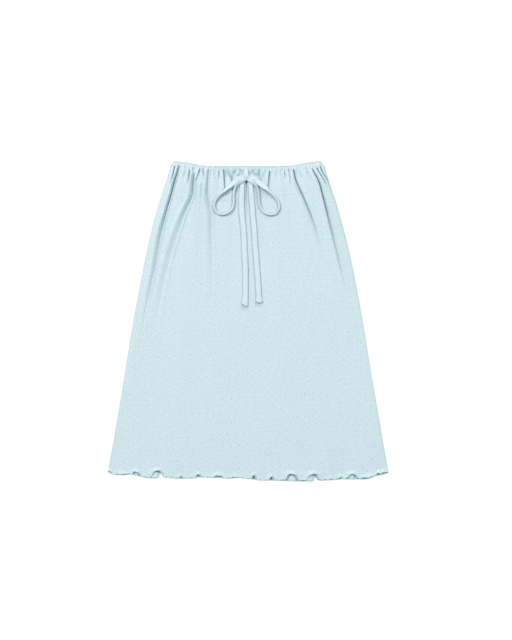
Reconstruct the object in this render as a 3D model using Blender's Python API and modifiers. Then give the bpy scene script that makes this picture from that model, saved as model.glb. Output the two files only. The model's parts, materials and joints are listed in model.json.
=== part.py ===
"""A drawstring skirt of eyelet knit, laid flat: gathered waist, tied bow and curled hem.

Units are metres in the scene. The sizes and tables here are in millimetres, and MM turns them
into metres. +Z points up off the surface that the skirt lies on, +Y from the hem to the waist,
and +X to the right for someone who looks down on the front. The origin is on that surface,
under the middle of the skirt.
"""
import math
from collections import namedtuple

import bmesh
import bpy
import numpy as np
from mathutils import Vector
from mathutils.bvhtree import BVHTree

MM = 0.001

# Cloth
WALL = 1.3
GAP = 0.3
CLOTH_COLOUR = (0.63, 0.79, 0.82, 1.0)
TAPE_COLOUR = (0.66, 0.81, 0.84, 1.0)

# Outline. TOP is the height of the waist corners, and "down" is measured from there to the hem.
TOP = 339.0
OUTLINE_DOWN = (0, 17, 81, 166, 293, 463, 657)
OUTLINE_HALF = (160.5, 164.7, 185.0, 208.3, 234.8, 263.5, 296.4)
SIDE_END = 657.0

# The waist edge from the middle to a corner, and the hem edge from left to right.
WAIST_ACROSS = (0, 60, 90, 116, 135, 157, 170)
WAIST_EDGE = (330.0, 330.0, 330.0, 332.3, 336.2, 339.0, 339.4)
HEM_ACROSS = (-297, -285, -240, -200, -100, 0, 100, 200, 255, 275, 297)
HEM_EDGE = (-318, -324, -327.5, -331.5, -333, -334.5, -338.6, -336.8, -333.5, -326, -319)

# Casing: a flat roll of turned cloth with the string inside it
CASING_HIGH = 10.5
CASING_THICK = 3.6
CASING_BACK_THICK = 2.2
CASING_BACK_STEP = 12.0
PUCKER_PITCH = 7.2
PUCKER_DEPTH = 0.09
CORNER_LENGTH = 8.0
CORNER_TAPER = 0.6
CORNER_STEPS = 3

# How far the gathers lift the front off the back, by distance below the casing's seam
PUFF_BELOW = (0, 12, 30, 60, 120, 200, 320, 650)
PUFF_HEIGHT = (3.4, 4.8, 5.6, 4.8, 3.3, 2.1, 1.2, 0.6)
PUFF_MIDDLE = 0.72
PUFF_SIDE = 1.12
SIDE_ROUND = 9.0

# Folds. Each is a trough that runs down from the casing's seam. Its place across is given at
# five distances down, and it fades out at its length.
FOLD_DOWN = (17, 67, 142, 227, 337)
Fold = namedtuple("Fold", "at_17 at_67 at_142 at_227 at_337 half_width depth length")
FOLDS = (
    Fold(-157.5, -172.0, -190.0, -209.0, -228.0, 2.8, 3.6, 30),
    Fold(-147.7, -162.6, -183.0, -199.8, -216.8, 3.2, 5.6, 330),
    Fold(-139.0, -155.0, -176.0, -193.0, -211.0, 3.4, 2.0, 38),
    Fold(-124.3, -126.5, -160.0, -183.0, -205.5, 3.0, 4.8, 34),
    Fold(-111.6, -117.3, -146.8, -173.2, -199.5, 3.8, 6.2, 310),
    Fold(-102.4, -111.0, -138.0, -165.0, -192.0, 2.4, 3.6, 28),
    Fold(-94.5, -99.0, -124.0, -150.0, -176.0, 2.4, 2.6, 18),
    Fold(-81.8, -86.1, -79.7, -72.5, -60.0, 4.4, 3.4, 230),
    Fold(-60.0, -71.0, -66.0, -58.0, -46.0, 3.0, 3.2, 38),
    Fold(-51.2, -47.5, -42.0, -38.0, -30.0, 3.2, 4.4, 46),
    Fold(-31.0, -30.0, -26.0, -22.0, -16.0, 3.0, 2.4, 24),
    Fold(24.2, 28.0, 30.0, 32.0, 36.0, 3.0, 2.4, 26),
    Fold(46.3, 46.0, 48.0, 52.0, 60.0, 3.0, 4.2, 42),
    Fold(78.8, 81.0, 86.0, 92.0, 100.0, 2.6, 2.8, 18),
    Fold(88.2, 92.0, 101.0, 110.0, 120.0, 3.0, 4.2, 32),
    Fold(98.6, 113.7, 143.4, 168.0, 190.0, 3.0, 6.0, 180),
    Fold(124.0, 141.0, 162.0, 184.0, 203.0, 3.8, 3.0, 26),
    Fold(138.0, 156.0, 175.5, 195.5, 214.0, 3.0, 6.0, 230),
    Fold(146.5, 168.0, 185.5, 205.0, 224.0, 3.0, 4.2, 38),
    Fold(155.5, 176.0, 192.5, 211.5, 231.0, 2.6, 3.8, 34),
)
RIDGE_SHARE = 0.28
RIDGE_OFFSET = 2.0

# Hem curls, left to right. The edge lifts, and is pulled in towards the waist, in a soft arch.
Curl = namedtuple("Curl", "across half_width lift pull")
HEM_CURLS = (
    Curl(-271.0, 7.0, 2.0, 1.5),
    Curl(-237.0, 7.5, 4.5, 5.0),
    Curl(-190.0, 10.0, 9.0, 13.0),
    Curl(-141.0, 5.0, 2.5, 3.0),
    Curl(-106.0, 5.5, 3.0, 4.0),
    Curl(-61.5, 9.0, 4.5, 6.0),
    Curl(13.8, 5.5, 4.5, 6.0),
    Curl(49.0, 6.0, 4.5, 5.5),
    Curl(92.5, 12.0, 10.0, 15.0),
    Curl(143.0, 9.5, 8.5, 12.0),
    Curl(174.0, 5.0, 2.0, 2.0),
    Curl(195.5, 5.0, 3.0, 3.5),
    Curl(221.0, 9.0, 7.0, 9.0),
    Curl(252.0, 9.0, 3.0, 4.0),
    Curl(279.0, 6.0, 3.5, 4.0),
)
CURL_REACH = 30.0
BACK_SHARE = 0.30
BACK_WIDTH = 0.62

# Rows of the two panels' meshes: distances below the seam, then distances above the hem
FRONT_BELOW = (0, 7, 16, 30, 50, 76, 110, 155, 215, 290, 380, 480, 570)
FRONT_ABOVE = (34, 20, 12, 6, 0)
BACK_BELOW = (0, 50, 130, 240, 400, 560)
BACK_ABOVE = (22, 9, 0)
FRONT_PITCH = 7.0
FRONT_LEAST = 4
BACK_COLUMNS = 76
COLUMN_EASE = 0.6

# Drawstring: a flat tape. Where it turns on its edge it rolls in, narrower and plumper.
TAPE_WIDE = 11.6
TAPE_THICK = 2.6
ROLLED_WIDE = 0.66
ROLLED_THICK = 1.85
TAPE_STEP = 7.0
TAIL_STEP = 12.0
TAPE_ROUND = 12
ROUTE_LOOK = 0.5
CASING_ROUND = 12
SECTION_SQUARE = 0.6
KNOT_MIDDLE = (-2.9, 310.8)
KNOT_HALF = (5.0, 12.2, 5.0)
KNOT_SQUARE = 0.72

# Routes, from the knot out. Across and up are places on the skirt, lean is the tape's angle
# from lying flat, clear is its height above the cloth, and wide is a share of its full width.
Stop = namedtuple("Stop", "across up lean clear wide")
LOOP_LEFT = (
    Stop(-9.8, 309.0, 0, 0.2, 0.66),
    Stop(-13.9, 305.4, -2, 0.2, 0.72),
    Stop(-22.4, 298.9, -6, 0.2, 0.78),
    Stop(-32.4, 290.6, -14, 0.2, 0.84),
    Stop(-40.8, 283.6, -35, 0.1, 0.94),
    Stop(-47.9, 277.0, -52, 0.0, 0.97),
    Stop(-57.8, 269.4, -70, 0.0, 0.94),
    Stop(-66.0, 260.4, -78, 0.0, 0.90),
    Stop(-71.2, 248.6, -84, 0.0, 0.88),
    Stop(-68.4, 236.8, -88, 0.0, 0.88),
    Stop(-62.2, 230.2, -90, 0.0, 0.88),
    Stop(-53.9, 227.2, -90, 0.0, 0.88),
    Stop(-45.6, 228.8, -90, 0.0, 0.88),
    Stop(-37.8, 233.6, -88, 0.0, 0.88),
    Stop(-31.8, 241.1, -86, 0.0, 0.88),
    Stop(-29.4, 249.1, -84, 0.0, 0.88),
    Stop(-29.0, 258.4, -82, 0.0, 0.88),
    Stop(-29.2, 268.5, -80, 0.0, 0.88),
    Stop(-27.9, 276.5, -76, 0.2, 0.90),
    Stop(-25.2, 285.0, -62, 0.8, 0.90),
    Stop(-21.2, 291.0, -42, 1.8, 0.92),
    Stop(-14.6, 297.8, -18, 3.1, 0.94),
    Stop(-11.6, 300.6, -6, 3.3, 0.98),
    Stop(-9.6, 302.0, 0, 3.3, 1.00),
)
LOOP_RIGHT = (
    Stop(4.0, 309.4, 0, 0.2, 0.66),
    Stop(8.0, 306.6, 2, 0.2, 0.74),
    Stop(15.6, 301.0, 5, 0.2, 0.90),
    Stop(24.2, 294.3, 8, 0.2, 1.02),
    Stop(32.5, 288.0, 14, 0.2, 1.02),
    Stop(39.3, 282.4, 28, 0.1, 0.98),
    Stop(45.1, 276.4, 50, 0.0, 0.96),
    Stop(54.0, 268.4, 70, 0.0, 0.92),
    Stop(61.2, 260.2, 82, 0.0, 0.88),
    Stop(66.2, 250.6, 86, 0.0, 0.86),
    Stop(66.8, 241.1, 90, 0.0, 0.86),
    Stop(63.4, 233.3, 90, 0.0, 0.86),
    Stop(56.7, 227.9, 90, 0.0, 0.86),
    Stop(48.7, 226.7, 88, 0.0, 0.86),
    Stop(39.8, 229.0, 86, 0.0, 0.86),
    Stop(32.8, 234.9, 84, 0.0, 0.86),
    Stop(26.9, 243.9, 82, 0.0, 0.86),
    Stop(24.1, 253.9, 80, 0.0, 0.86),
    Stop(23.4, 264.0, 80, 0.0, 0.86),
    Stop(22.6, 274.3, 76, 0.2, 0.88),
    Stop(20.0, 283.0, 68, 0.6, 0.88),
    Stop(17.4, 287.9, 54, 1.2, 0.90),
    Stop(13.4, 292.8, 36, 2.2, 0.92),
    Stop(7.6, 298.8, 12, 3.1, 0.96),
    Stop(5.4, 300.8, 4, 3.3, 1.00),
    Stop(3.6, 302.0, 0, 3.3, 1.00),
)
TAIL_LEFT = (
    Stop(-9.4, 299.0, 0, 0.0, 0.66),
    Stop(-11.6, 288.0, 0, 0.0, 0.84),
    Stop(-12.3, 274.0, 0, 0.0, 0.94),
    Stop(-12.8, 246.7, 0, 0.0, 1.00),
    Stop(-11.0, 221.8, 0, 0.0, 1.00),
    Stop(-8.7, 196.9, 0, 0.0, 1.00),
    Stop(-6.4, 152.1, 0, 0.0, 1.00),
    Stop(-4.6, 115.0, 0, 0.0, 1.00),
    Stop(-4.5, 77.4, 0, 0.0, 1.00),
    Stop(-4.8, 50.0, 0, 0.0, 1.02),
    Stop(-5.6, 41.0, 0, 0.0, 1.10),
    Stop(-5.8, 32.6, 0, 0.0, 1.26),
)
TAIL_RIGHT = (
    Stop(4.4, 299.0, 0, 0.0, 0.66),
    Stop(6.4, 288.0, 0, 0.0, 0.86),
    Stop(7.6, 274.0, 0, 0.0, 0.94),
    Stop(9.8, 246.7, 0, 0.0, 1.00),
    Stop(11.6, 221.8, 0, 0.0, 1.00),
    Stop(14.0, 196.9, 0, 0.0, 1.00),
    Stop(16.9, 152.1, 0, 0.0, 1.00),
    Stop(19.8, 115.0, 0, 0.0, 1.00),
    Stop(22.8, 77.4, 0, 0.0, 1.00),
    Stop(24.1, 55.0, 0, 0.0, 1.02),
    Stop(24.2, 47.0, 0, 0.0, 1.12),
    Stop(24.3, 39.6, 0, 0.0, 1.34),
)


def clear_scene():
    """Start from an empty scene."""
    for obj in list(bpy.data.objects):
        bpy.data.objects.remove(obj)


def smooth(at, places, values):
    """Read a table as a smooth curve through its rows, held level past both ends."""
    places = np.asarray(places, float)
    values = np.asarray(values, float)
    slopes = np.gradient(values, places)
    low = np.clip(np.searchsorted(places, at) - 1, 0, len(places) - 2)
    span = places[low + 1] - places[low]
    t = np.clip((at - places[low]) / span, 0.0, 1.0)
    start = values[low] * (1 + 2 * t) * (1 - t) ** 2 + slopes[low] * span * t * (1 - t) ** 2
    end = values[low + 1] * t * t * (3 - 2 * t) + slopes[low + 1] * span * t * t * (t - 1)
    return start + end


def half_width(down):
    """Half the skirt's laid width at a distance below the waist corners."""
    return smooth(down, OUTLINE_DOWN, OUTLINE_HALF)


def waist_edge(across):
    """Height of the casing's top edge."""
    return smooth(np.abs(across), WAIST_ACROSS, WAIST_EDGE)


def seam(across):
    """Height of the seam between the casing and a panel."""
    return waist_edge(across) - CASING_HIGH


def hem(across):
    """Height of the hem before it curls."""
    return smooth(across, HEM_ACROSS, HEM_EDGE)


def fold_line(fold, down):
    """A fold's place across, as a share of the half width, at a distance down."""
    places = np.array(fold[:len(FOLD_DOWN)]) / half_width(np.array(FOLD_DOWN, float))
    return smooth(down, FOLD_DOWN, places)


def fold_height(across, up):
    """Height of the front panel's folds above the back panel, from the waist down."""
    below = np.maximum(seam(across) - up, 0.0)
    down = TOP - up
    half = half_width(down)
    share = np.abs(across) / half
    bulge = PUFF_MIDDLE + (PUFF_SIDE - PUFF_MIDDLE) * np.clip(share / 0.7, 0, 1) ** 2
    height = smooth(below, PUFF_BELOW, PUFF_HEIGHT) * bulge
    for fold in FOLDS:
        fade = np.clip(1 - (below / fold.length) ** 2, 0, 1) ** 1.5
        away = np.abs(across - fold_line(fold, down) * half) / fold.half_width
        trough = np.exp(-away ** 2)
        ridge = RIDGE_SHARE * np.exp(-(away - RIDGE_OFFSET) ** 2)
        height = height - fold.depth * fade * (trough - ridge)
    side = np.clip((half - np.abs(across)) / SIDE_ROUND, 0, 1)
    return np.maximum(height, 0.0) * np.sqrt(1 - (1 - side) ** 2)


def curl(across, above, share, width):
    """How far the hem's curls lift and pull in a point, at a distance above the hem."""
    reach = np.clip(1 - above / CURL_REACH, 0, 1) ** 2
    lift = np.zeros_like(across)
    pull = np.zeros_like(across)
    for row in HEM_CURLS:
        bell = np.exp(-((across - row.across) / (row.half_width * width)) ** 2) * reach
        lift = lift + row.lift * share * bell
        pull = pull + row.pull * share * bell
    return lift, pull


def fold_columns(down, counts):
    """Places across for the front's mesh columns, closer together beside each fold."""
    lines = [-1.0] + [float(fold_line(fold, down)) for fold in FOLDS] + [1.0]
    shares = [-1.0]
    for left, right, count in zip(lines, lines[1:], counts):
        for step in range(1, count + 1):
            t = step / count
            eased = t - COLUMN_EASE * math.sin(2 * math.pi * t) / (2 * math.pi)
            shares.append(left + (right - left) * eased)
    return np.array(shares)


def column_counts():
    """Number of mesh columns between neighbouring folds, from their distance at the hem."""
    lines = [-1.0] + [float(fold_line(fold, SIDE_END)) for fold in FOLDS] + [1.0]
    gaps = np.diff(lines) * half_width(SIDE_END)
    return [max(FRONT_LEAST, round(gap / FRONT_PITCH)) for gap in gaps]


def row_shares(below, above):
    """Mesh rows as shares of the way from the seam to the hem."""
    length = SIDE_END - CASING_HIGH
    return [row / length for row in below] + [1 - row / length for row in above]


def new_object(name, data, collection, colour):
    """Link an object to the skirt with a material of its own."""
    material = bpy.data.materials.new(name)
    material.use_nodes = True
    shader = material.node_tree.nodes["Principled BSDF"]
    shader.inputs["Base Color"].default_value = colour
    shader.inputs["Roughness"].default_value = 0.95
    shader.inputs["Metallic"].default_value = 0.0
    data.materials.append(material)
    obj = bpy.data.objects.new(name, data)
    collection.objects.link(obj)
    return obj


def panel(name, collection, rows, columns_at, place):
    """A panel: a grid whose rows and columns are placed on the cloth, thickened upward."""
    across_count = len(columns_at(0.0)) - 1
    bm = bmesh.new()
    bmesh.ops.create_grid(bm, x_segments=across_count, y_segments=len(rows) - 1, size=1.0)
    side_down = [CASING_HIGH + (SIDE_END - CASING_HIGH) * row for row in rows]
    shares = [columns_at(down) for down in side_down]
    for vert in bm.verts:
        column = round((vert.co.x + 1) / 2 * across_count)
        row = round((1 - vert.co.y) / 2 * (len(rows) - 1))
        across = shares[row][column] * half_width(side_down[row])
        top = seam(across) - GAP
        up = top + (hem(across) - top) * rows[row]
        vert.co = Vector([float(v) * MM for v in place(across, up)])
    mesh = bpy.data.meshes.new(name)
    bm.to_mesh(mesh)
    bm.free()
    mesh.shade_smooth()
    obj = new_object(name, mesh, collection, CLOTH_COLOUR)
    wall = obj.modifiers.new("Wall", "SOLIDIFY")
    wall.thickness = WALL * MM
    wall.offset = 1.0
    return obj


def front_place(across, up):
    """A point on the underside of the front panel."""
    lift, pull = curl(across, up - hem(across), 1.0, 1.0)
    return across, up + pull, WALL + GAP + fold_height(across, up) + lift


def back_place(across, up):
    """A point on the underside of the back panel, flat but for its hem inside the curls."""
    lift, _ = curl(across, up - hem(across), BACK_SHARE, BACK_WIDTH)
    return across, up, lift


def front_panel(collection):
    """Front: gathered into the casing, with folds that fan out and a curled hem."""
    counts = column_counts()
    rows = row_shares(FRONT_BELOW, FRONT_ABOVE)
    return panel("front_panel", collection, rows, lambda down: fold_columns(down, counts),
                 front_place)


def back_panel(collection):
    """Back: the same outline, flat on the surface."""
    shares = np.linspace(-1.0, 1.0, BACK_COLUMNS + 1)
    rows = row_shares(BACK_BELOW, BACK_ABOVE)
    return panel("back_panel", collection, rows, lambda down: shares, back_place)


def tube(name, collection, sections, round_count, colour):
    """A capped tube through sections of (middle, way ahead, lean, width, thickness)."""
    bm = bmesh.new()
    bmesh.ops.create_grid(bm, x_segments=len(sections) - 1, y_segments=round_count, size=1.0)
    for vert in bm.verts:
        index = round((vert.co.x + 1) / 2 * (len(sections) - 1))
        angle = math.pi * (vert.co.y + 1)
        middle, ahead, lean, wide, thick = sections[index]
        side = ahead.cross(Vector((0, 0, 1))).normalized()
        rise = side.cross(ahead).normalized()
        flat_way = math.cos(lean) * side + math.sin(lean) * rise
        thick_way = math.cos(lean) * rise - math.sin(lean) * side
        out, over = (math.copysign(abs(part) ** SECTION_SQUARE, part)
                     for part in (math.cos(angle), math.sin(angle)))
        vert.co = (middle + flat_way * out * wide / 2 + thick_way * over * thick / 2) * MM
    bmesh.ops.remove_doubles(bm, verts=bm.verts, dist=0.01 * MM)
    ends = [edge for edge in bm.edges if edge.is_boundary]
    bmesh.ops.holes_fill(bm, edges=ends, sides=0)
    bmesh.ops.recalc_face_normals(bm, faces=bm.faces)
    mesh = bpy.data.meshes.new(name)
    bm.to_mesh(mesh)
    bm.free()
    mesh.shade_smooth()
    return new_object(name, mesh, collection, colour)


def casing(name, collection, thick, base, step, pucker):
    """Half of the casing: its lower edge runs along the seam, and its ends taper at the sides."""
    end = float(half_width(TOP - seam(WAIST_ACROSS[-1]))) - 0.5
    inner = end - CORNER_LENGTH
    corner = inner + CORNER_LENGTH * np.arange(1, CORNER_STEPS + 1) / CORNER_STEPS
    middle = np.linspace(-inner, inner, 2 * round(inner / step) + 1)
    sections = []
    for index, across in enumerate(np.concatenate([-corner[::-1], middle, corner])):
        near_end = max((abs(across) - inner) / CORNER_LENGTH, 0.0)
        share = 1 - CORNER_TAPER * near_end ** 2 - pucker * (index % 2)
        up = float(seam(across)) + CASING_HIGH / 2 * share
        place = Vector((float(across), up, base + thick / 2))
        sections.append((place, Vector((1, 0, 0)), 0.0, CASING_HIGH * share, thick * share))
    return tube(name, collection, sections, CASING_ROUND, CLOTH_COLOUR)


def cloth_finder(objects):
    """A function that gives the cloth's highest point within reach of a place."""
    bpy.context.view_layer.update()
    graph = bpy.context.evaluated_depsgraph_get()
    trees = [BVHTree.FromObject(obj, graph) for obj in objects]

    def highest(across, up, reach):
        best = WALL
        for step_x in (-1.0, -0.5, 0.0, 0.5, 1.0):
            for step_y in (-1.0, -0.5, 0.0, 0.5, 1.0):
                above = Vector(((across + step_x * reach) * MM, (up + step_y * reach) * MM, 0.1))
                for tree in trees:
                    hit = tree.ray_cast(above, Vector((0, 0, -1)))[0]
                    if hit is not None:
                        best = max(best, hit.z / MM)
        return best

    return highest


def tape(name, collection, route, step, highest):
    """A stretch of the drawstring, laid on the cloth along its route."""
    columns = list(zip(*route))
    run = np.concatenate([[0.0], np.cumsum(np.hypot(np.diff(columns[0]), np.diff(columns[1])))])

    def at(distance):
        return [float(smooth(distance, run, column)) for column in columns]

    sections = []
    for distance in np.linspace(0.0, run[-1], round(run[-1] / step) + 1):
        across, up, lean, clear, share = at(distance)
        lean = math.radians(lean)
        rolled = math.sin(lean) ** 2
        wide = TAPE_WIDE * share * (1 - (1 - ROLLED_WIDE) * rolled)
        thick = TAPE_THICK * (1 + (ROLLED_THICK - 1) * rolled)
        half_high = wide / 2 * abs(math.sin(lean)) + thick / 2 * abs(math.cos(lean))
        half_across = wide / 2 * abs(math.cos(lean)) + thick / 2 * abs(math.sin(lean))
        up_high = highest(across, up, half_across) + GAP + max(clear, 0.0) + half_high
        behind = at(max(distance - ROUTE_LOOK, 0.0))
        before = at(min(distance + ROUTE_LOOK, run[-1]))
        ahead = Vector((before[0] - behind[0], before[1] - behind[1], 0.0)).normalized()
        sections.append((Vector((across, up, up_high)), ahead, lean, wide, thick))
    return tube(name, collection, sections, TAPE_ROUND, TAPE_COLOUR)


def knot(collection, highest):
    """The bow's knot: a soft upright pillow where the tape wraps over the loops."""
    bm = bmesh.new()
    bmesh.ops.create_uvsphere(bm, u_segments=16, v_segments=10, radius=1.0)
    half_x, half_y, half_z = KNOT_HALF
    base = highest(*KNOT_MIDDLE, half_x) + GAP
    for vert in bm.verts:
        x, y, z = (math.copysign(abs(value) ** KNOT_SQUARE, value) for value in vert.co)
        vert.co = Vector(((KNOT_MIDDLE[0] + x * half_x) * MM,
                          (KNOT_MIDDLE[1] + y * half_y) * MM,
                          (base + (1 + z) * half_z) * MM))
    mesh = bpy.data.meshes.new("drawstring_knot")
    bm.to_mesh(mesh)
    bm.free()
    mesh.shade_smooth()
    return new_object("drawstring_knot", mesh, collection, TAPE_COLOUR)


def main():
    """Build the skirt from the surface up."""
    clear_scene()
    collection = bpy.data.collections.new("drawstring_skirt")
    bpy.context.scene.collection.children.link(collection)
    back_panel(collection)
    front = front_panel(collection)
    casing("casing_back", collection, CASING_BACK_THICK, 0.0, CASING_BACK_STEP, 0.0)
    casing_front = casing("casing_front", collection, CASING_THICK, CASING_BACK_THICK + GAP,
                          PUCKER_PITCH / 2, PUCKER_DEPTH)
    highest = cloth_finder([front, casing_front])
    tape("tail_left", collection, TAIL_LEFT, TAIL_STEP, highest)
    tape("tail_right", collection, TAIL_RIGHT, TAIL_STEP, highest)
    tape("loop_left", collection, LOOP_LEFT, TAPE_STEP, highest)
    tape("loop_right", collection, LOOP_RIGHT, TAPE_STEP, highest)
    knot(collection, highest)


main()
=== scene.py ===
# %% [markdown]
# # A drawstring skirt of eyelet knit, laid flat
# The real skirt is two A-line panels of thin pointelle jersey. They are gathered into a narrow
# casing at the waist, a flat string of the same cloth is tied in a bow at the front, and the hem
# is stretched under an overlocker until it curls like a lettuce leaf. Here it lies on a pale
# floor, seen from straight above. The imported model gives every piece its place, so the script
# starts by loading it.

import json
import math
from collections import namedtuple

import bmesh
import bpy
import numpy as np
from mathutils import Vector
from mathutils.bvhtree import BVHTree
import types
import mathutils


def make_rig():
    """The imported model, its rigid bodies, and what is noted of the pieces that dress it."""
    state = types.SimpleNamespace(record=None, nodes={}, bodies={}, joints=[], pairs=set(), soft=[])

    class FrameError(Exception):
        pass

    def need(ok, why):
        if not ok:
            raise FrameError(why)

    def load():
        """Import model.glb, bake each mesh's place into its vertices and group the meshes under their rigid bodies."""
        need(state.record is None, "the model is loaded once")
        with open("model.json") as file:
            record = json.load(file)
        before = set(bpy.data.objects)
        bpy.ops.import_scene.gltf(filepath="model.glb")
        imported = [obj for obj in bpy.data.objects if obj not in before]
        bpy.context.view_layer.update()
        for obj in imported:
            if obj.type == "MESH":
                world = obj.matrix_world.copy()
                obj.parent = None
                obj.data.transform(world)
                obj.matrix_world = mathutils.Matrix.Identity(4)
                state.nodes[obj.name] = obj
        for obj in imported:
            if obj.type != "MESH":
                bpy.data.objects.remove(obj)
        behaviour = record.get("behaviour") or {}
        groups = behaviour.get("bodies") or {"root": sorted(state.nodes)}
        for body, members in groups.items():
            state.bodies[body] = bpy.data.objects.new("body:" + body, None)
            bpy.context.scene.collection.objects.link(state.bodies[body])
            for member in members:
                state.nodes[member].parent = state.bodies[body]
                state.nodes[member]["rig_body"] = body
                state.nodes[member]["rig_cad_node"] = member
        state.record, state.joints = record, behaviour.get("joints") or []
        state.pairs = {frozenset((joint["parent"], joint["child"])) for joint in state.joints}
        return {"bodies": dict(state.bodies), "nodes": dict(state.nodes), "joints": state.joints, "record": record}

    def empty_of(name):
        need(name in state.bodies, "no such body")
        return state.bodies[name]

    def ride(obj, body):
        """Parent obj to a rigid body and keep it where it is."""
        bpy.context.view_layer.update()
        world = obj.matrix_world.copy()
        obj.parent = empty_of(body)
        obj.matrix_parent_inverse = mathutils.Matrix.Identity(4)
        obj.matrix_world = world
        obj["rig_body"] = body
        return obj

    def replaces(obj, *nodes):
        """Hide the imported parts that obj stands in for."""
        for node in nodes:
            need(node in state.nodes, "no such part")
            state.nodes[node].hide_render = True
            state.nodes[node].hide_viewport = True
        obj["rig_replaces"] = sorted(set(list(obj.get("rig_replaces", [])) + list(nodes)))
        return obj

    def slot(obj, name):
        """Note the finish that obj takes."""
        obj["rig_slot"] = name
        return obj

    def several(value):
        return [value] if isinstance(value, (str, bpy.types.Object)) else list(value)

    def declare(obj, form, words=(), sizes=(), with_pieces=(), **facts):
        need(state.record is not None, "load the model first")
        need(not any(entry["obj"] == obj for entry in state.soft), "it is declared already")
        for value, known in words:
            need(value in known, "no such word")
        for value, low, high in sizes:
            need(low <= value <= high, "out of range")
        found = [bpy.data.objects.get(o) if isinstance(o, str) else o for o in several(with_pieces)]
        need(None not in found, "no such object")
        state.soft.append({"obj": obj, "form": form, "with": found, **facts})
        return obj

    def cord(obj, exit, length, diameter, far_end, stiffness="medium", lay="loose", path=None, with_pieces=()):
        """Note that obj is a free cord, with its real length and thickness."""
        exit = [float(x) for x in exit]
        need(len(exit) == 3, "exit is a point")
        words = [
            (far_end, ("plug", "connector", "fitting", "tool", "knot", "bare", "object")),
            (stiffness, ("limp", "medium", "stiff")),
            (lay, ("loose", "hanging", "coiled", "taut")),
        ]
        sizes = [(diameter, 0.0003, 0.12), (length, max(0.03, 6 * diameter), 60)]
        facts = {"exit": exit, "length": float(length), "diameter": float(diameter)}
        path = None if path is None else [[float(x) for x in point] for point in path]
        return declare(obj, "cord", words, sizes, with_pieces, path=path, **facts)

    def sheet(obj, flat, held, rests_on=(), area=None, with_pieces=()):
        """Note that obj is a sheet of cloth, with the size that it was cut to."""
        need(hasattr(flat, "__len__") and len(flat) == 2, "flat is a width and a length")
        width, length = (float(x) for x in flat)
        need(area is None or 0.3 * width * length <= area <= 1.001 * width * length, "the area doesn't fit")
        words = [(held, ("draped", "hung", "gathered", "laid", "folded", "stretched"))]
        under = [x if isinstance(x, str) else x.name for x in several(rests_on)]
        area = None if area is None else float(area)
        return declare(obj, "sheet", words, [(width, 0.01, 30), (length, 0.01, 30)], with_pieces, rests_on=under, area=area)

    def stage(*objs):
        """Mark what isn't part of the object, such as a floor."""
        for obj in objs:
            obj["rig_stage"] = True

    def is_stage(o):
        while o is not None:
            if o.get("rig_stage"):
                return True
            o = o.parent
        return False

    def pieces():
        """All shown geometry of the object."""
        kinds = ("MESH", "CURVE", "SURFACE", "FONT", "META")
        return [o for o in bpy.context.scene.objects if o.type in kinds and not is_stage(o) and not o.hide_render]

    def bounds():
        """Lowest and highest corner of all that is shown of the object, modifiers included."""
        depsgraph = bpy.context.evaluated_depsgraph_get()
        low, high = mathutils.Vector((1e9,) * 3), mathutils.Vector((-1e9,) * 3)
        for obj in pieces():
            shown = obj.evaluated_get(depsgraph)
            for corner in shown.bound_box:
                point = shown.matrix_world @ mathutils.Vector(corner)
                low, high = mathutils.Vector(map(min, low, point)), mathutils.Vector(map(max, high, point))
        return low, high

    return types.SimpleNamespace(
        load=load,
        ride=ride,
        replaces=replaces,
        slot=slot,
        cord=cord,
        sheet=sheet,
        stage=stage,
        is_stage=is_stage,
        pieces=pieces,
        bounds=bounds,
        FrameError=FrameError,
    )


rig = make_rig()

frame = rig.load()
CAD_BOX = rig.bounds()
MM = 0.001
print("skirt", [round((high - low) / MM) for low, high in zip(*CAD_BOX)], "mm")

# %% [markdown]
# ## Camera
# The photograph looks straight down with a long lens, so a camera high above the skirt matches
# it. The skirt's size in the picture sets the height: one pixel of the photograph is 2.125 mm,
# and the middle of the picture lies 18 mm right of the skirt's middle.

# %% Camera
PICTURE_PIXELS = (512, 640)
PIXEL = 2.125 * MM
PICTURE_MIDDLE = (18.0 * MM, 3.2 * MM)
LENS = 100.0
SENSOR = 36.0

camera_data = bpy.data.cameras.new("camera")
camera_data.lens = LENS
camera_data.sensor_width = SENSOR
camera_height = PICTURE_PIXELS[1] * PIXEL * LENS / SENSOR
camera = bpy.data.objects.new("camera", camera_data)
camera.location = (*PICTURE_MIDDLE, camera_height)
bpy.context.scene.collection.objects.link(camera)
bpy.context.scene.camera = camera
print("camera height", round(camera_height, 3), "m")

# %% [markdown]
# ## Light and floor
# A catalogue picture of a laid garment is lit by two big soft boxes, one on each side and both
# nearer its waist, and an even light from all over. The left box is the stronger one. Light from
# both sides leaves the creases dark, since they run down the skirt. The even light is a little
# bluish green and the boxes are a little warm: together they are white, and the shadows are
# tinted as in the photograph. White paper over a light table keeps the skirt's shadow faint, and
# it reaches so far that it fills the view from a low angle too.

# %% Light and floor
SKY_STRENGTH = 0.43
SKY_COLOUR = (0.62, 1.0, 1.03)
BOX_SIZE = 1.8
BOX_COLOUR = (1.21, 1.0, 0.985)
Box = namedtuple("Box", "name place watts")
BOXES = (
    Box("left_box", Vector((-2.7, 2.8, 4.6)), 238.0),
    Box("right_box", Vector((2.9, 2.4, 4.6)), 117.0),
)
FLOOR_SIZE = 60.0
FLOOR_PALE = 0.42
FLOOR_ROUGH = 0.9
FLOOR_GLOW = 0.60
FLOOR_BELOW = 0.5 * MM


def soft_box(name, place, size, watts):
    """A square area light that faces the skirt."""
    data = bpy.data.lights.new(name, "AREA")
    data.size = size
    data.energy = watts
    data.color = BOX_COLOUR
    light = bpy.data.objects.new(name, data)
    light.location = place
    light.rotation_euler = (-Vector(place)).to_track_quat("-Z", "Y").to_euler()
    bpy.context.scene.collection.objects.link(light)


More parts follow.
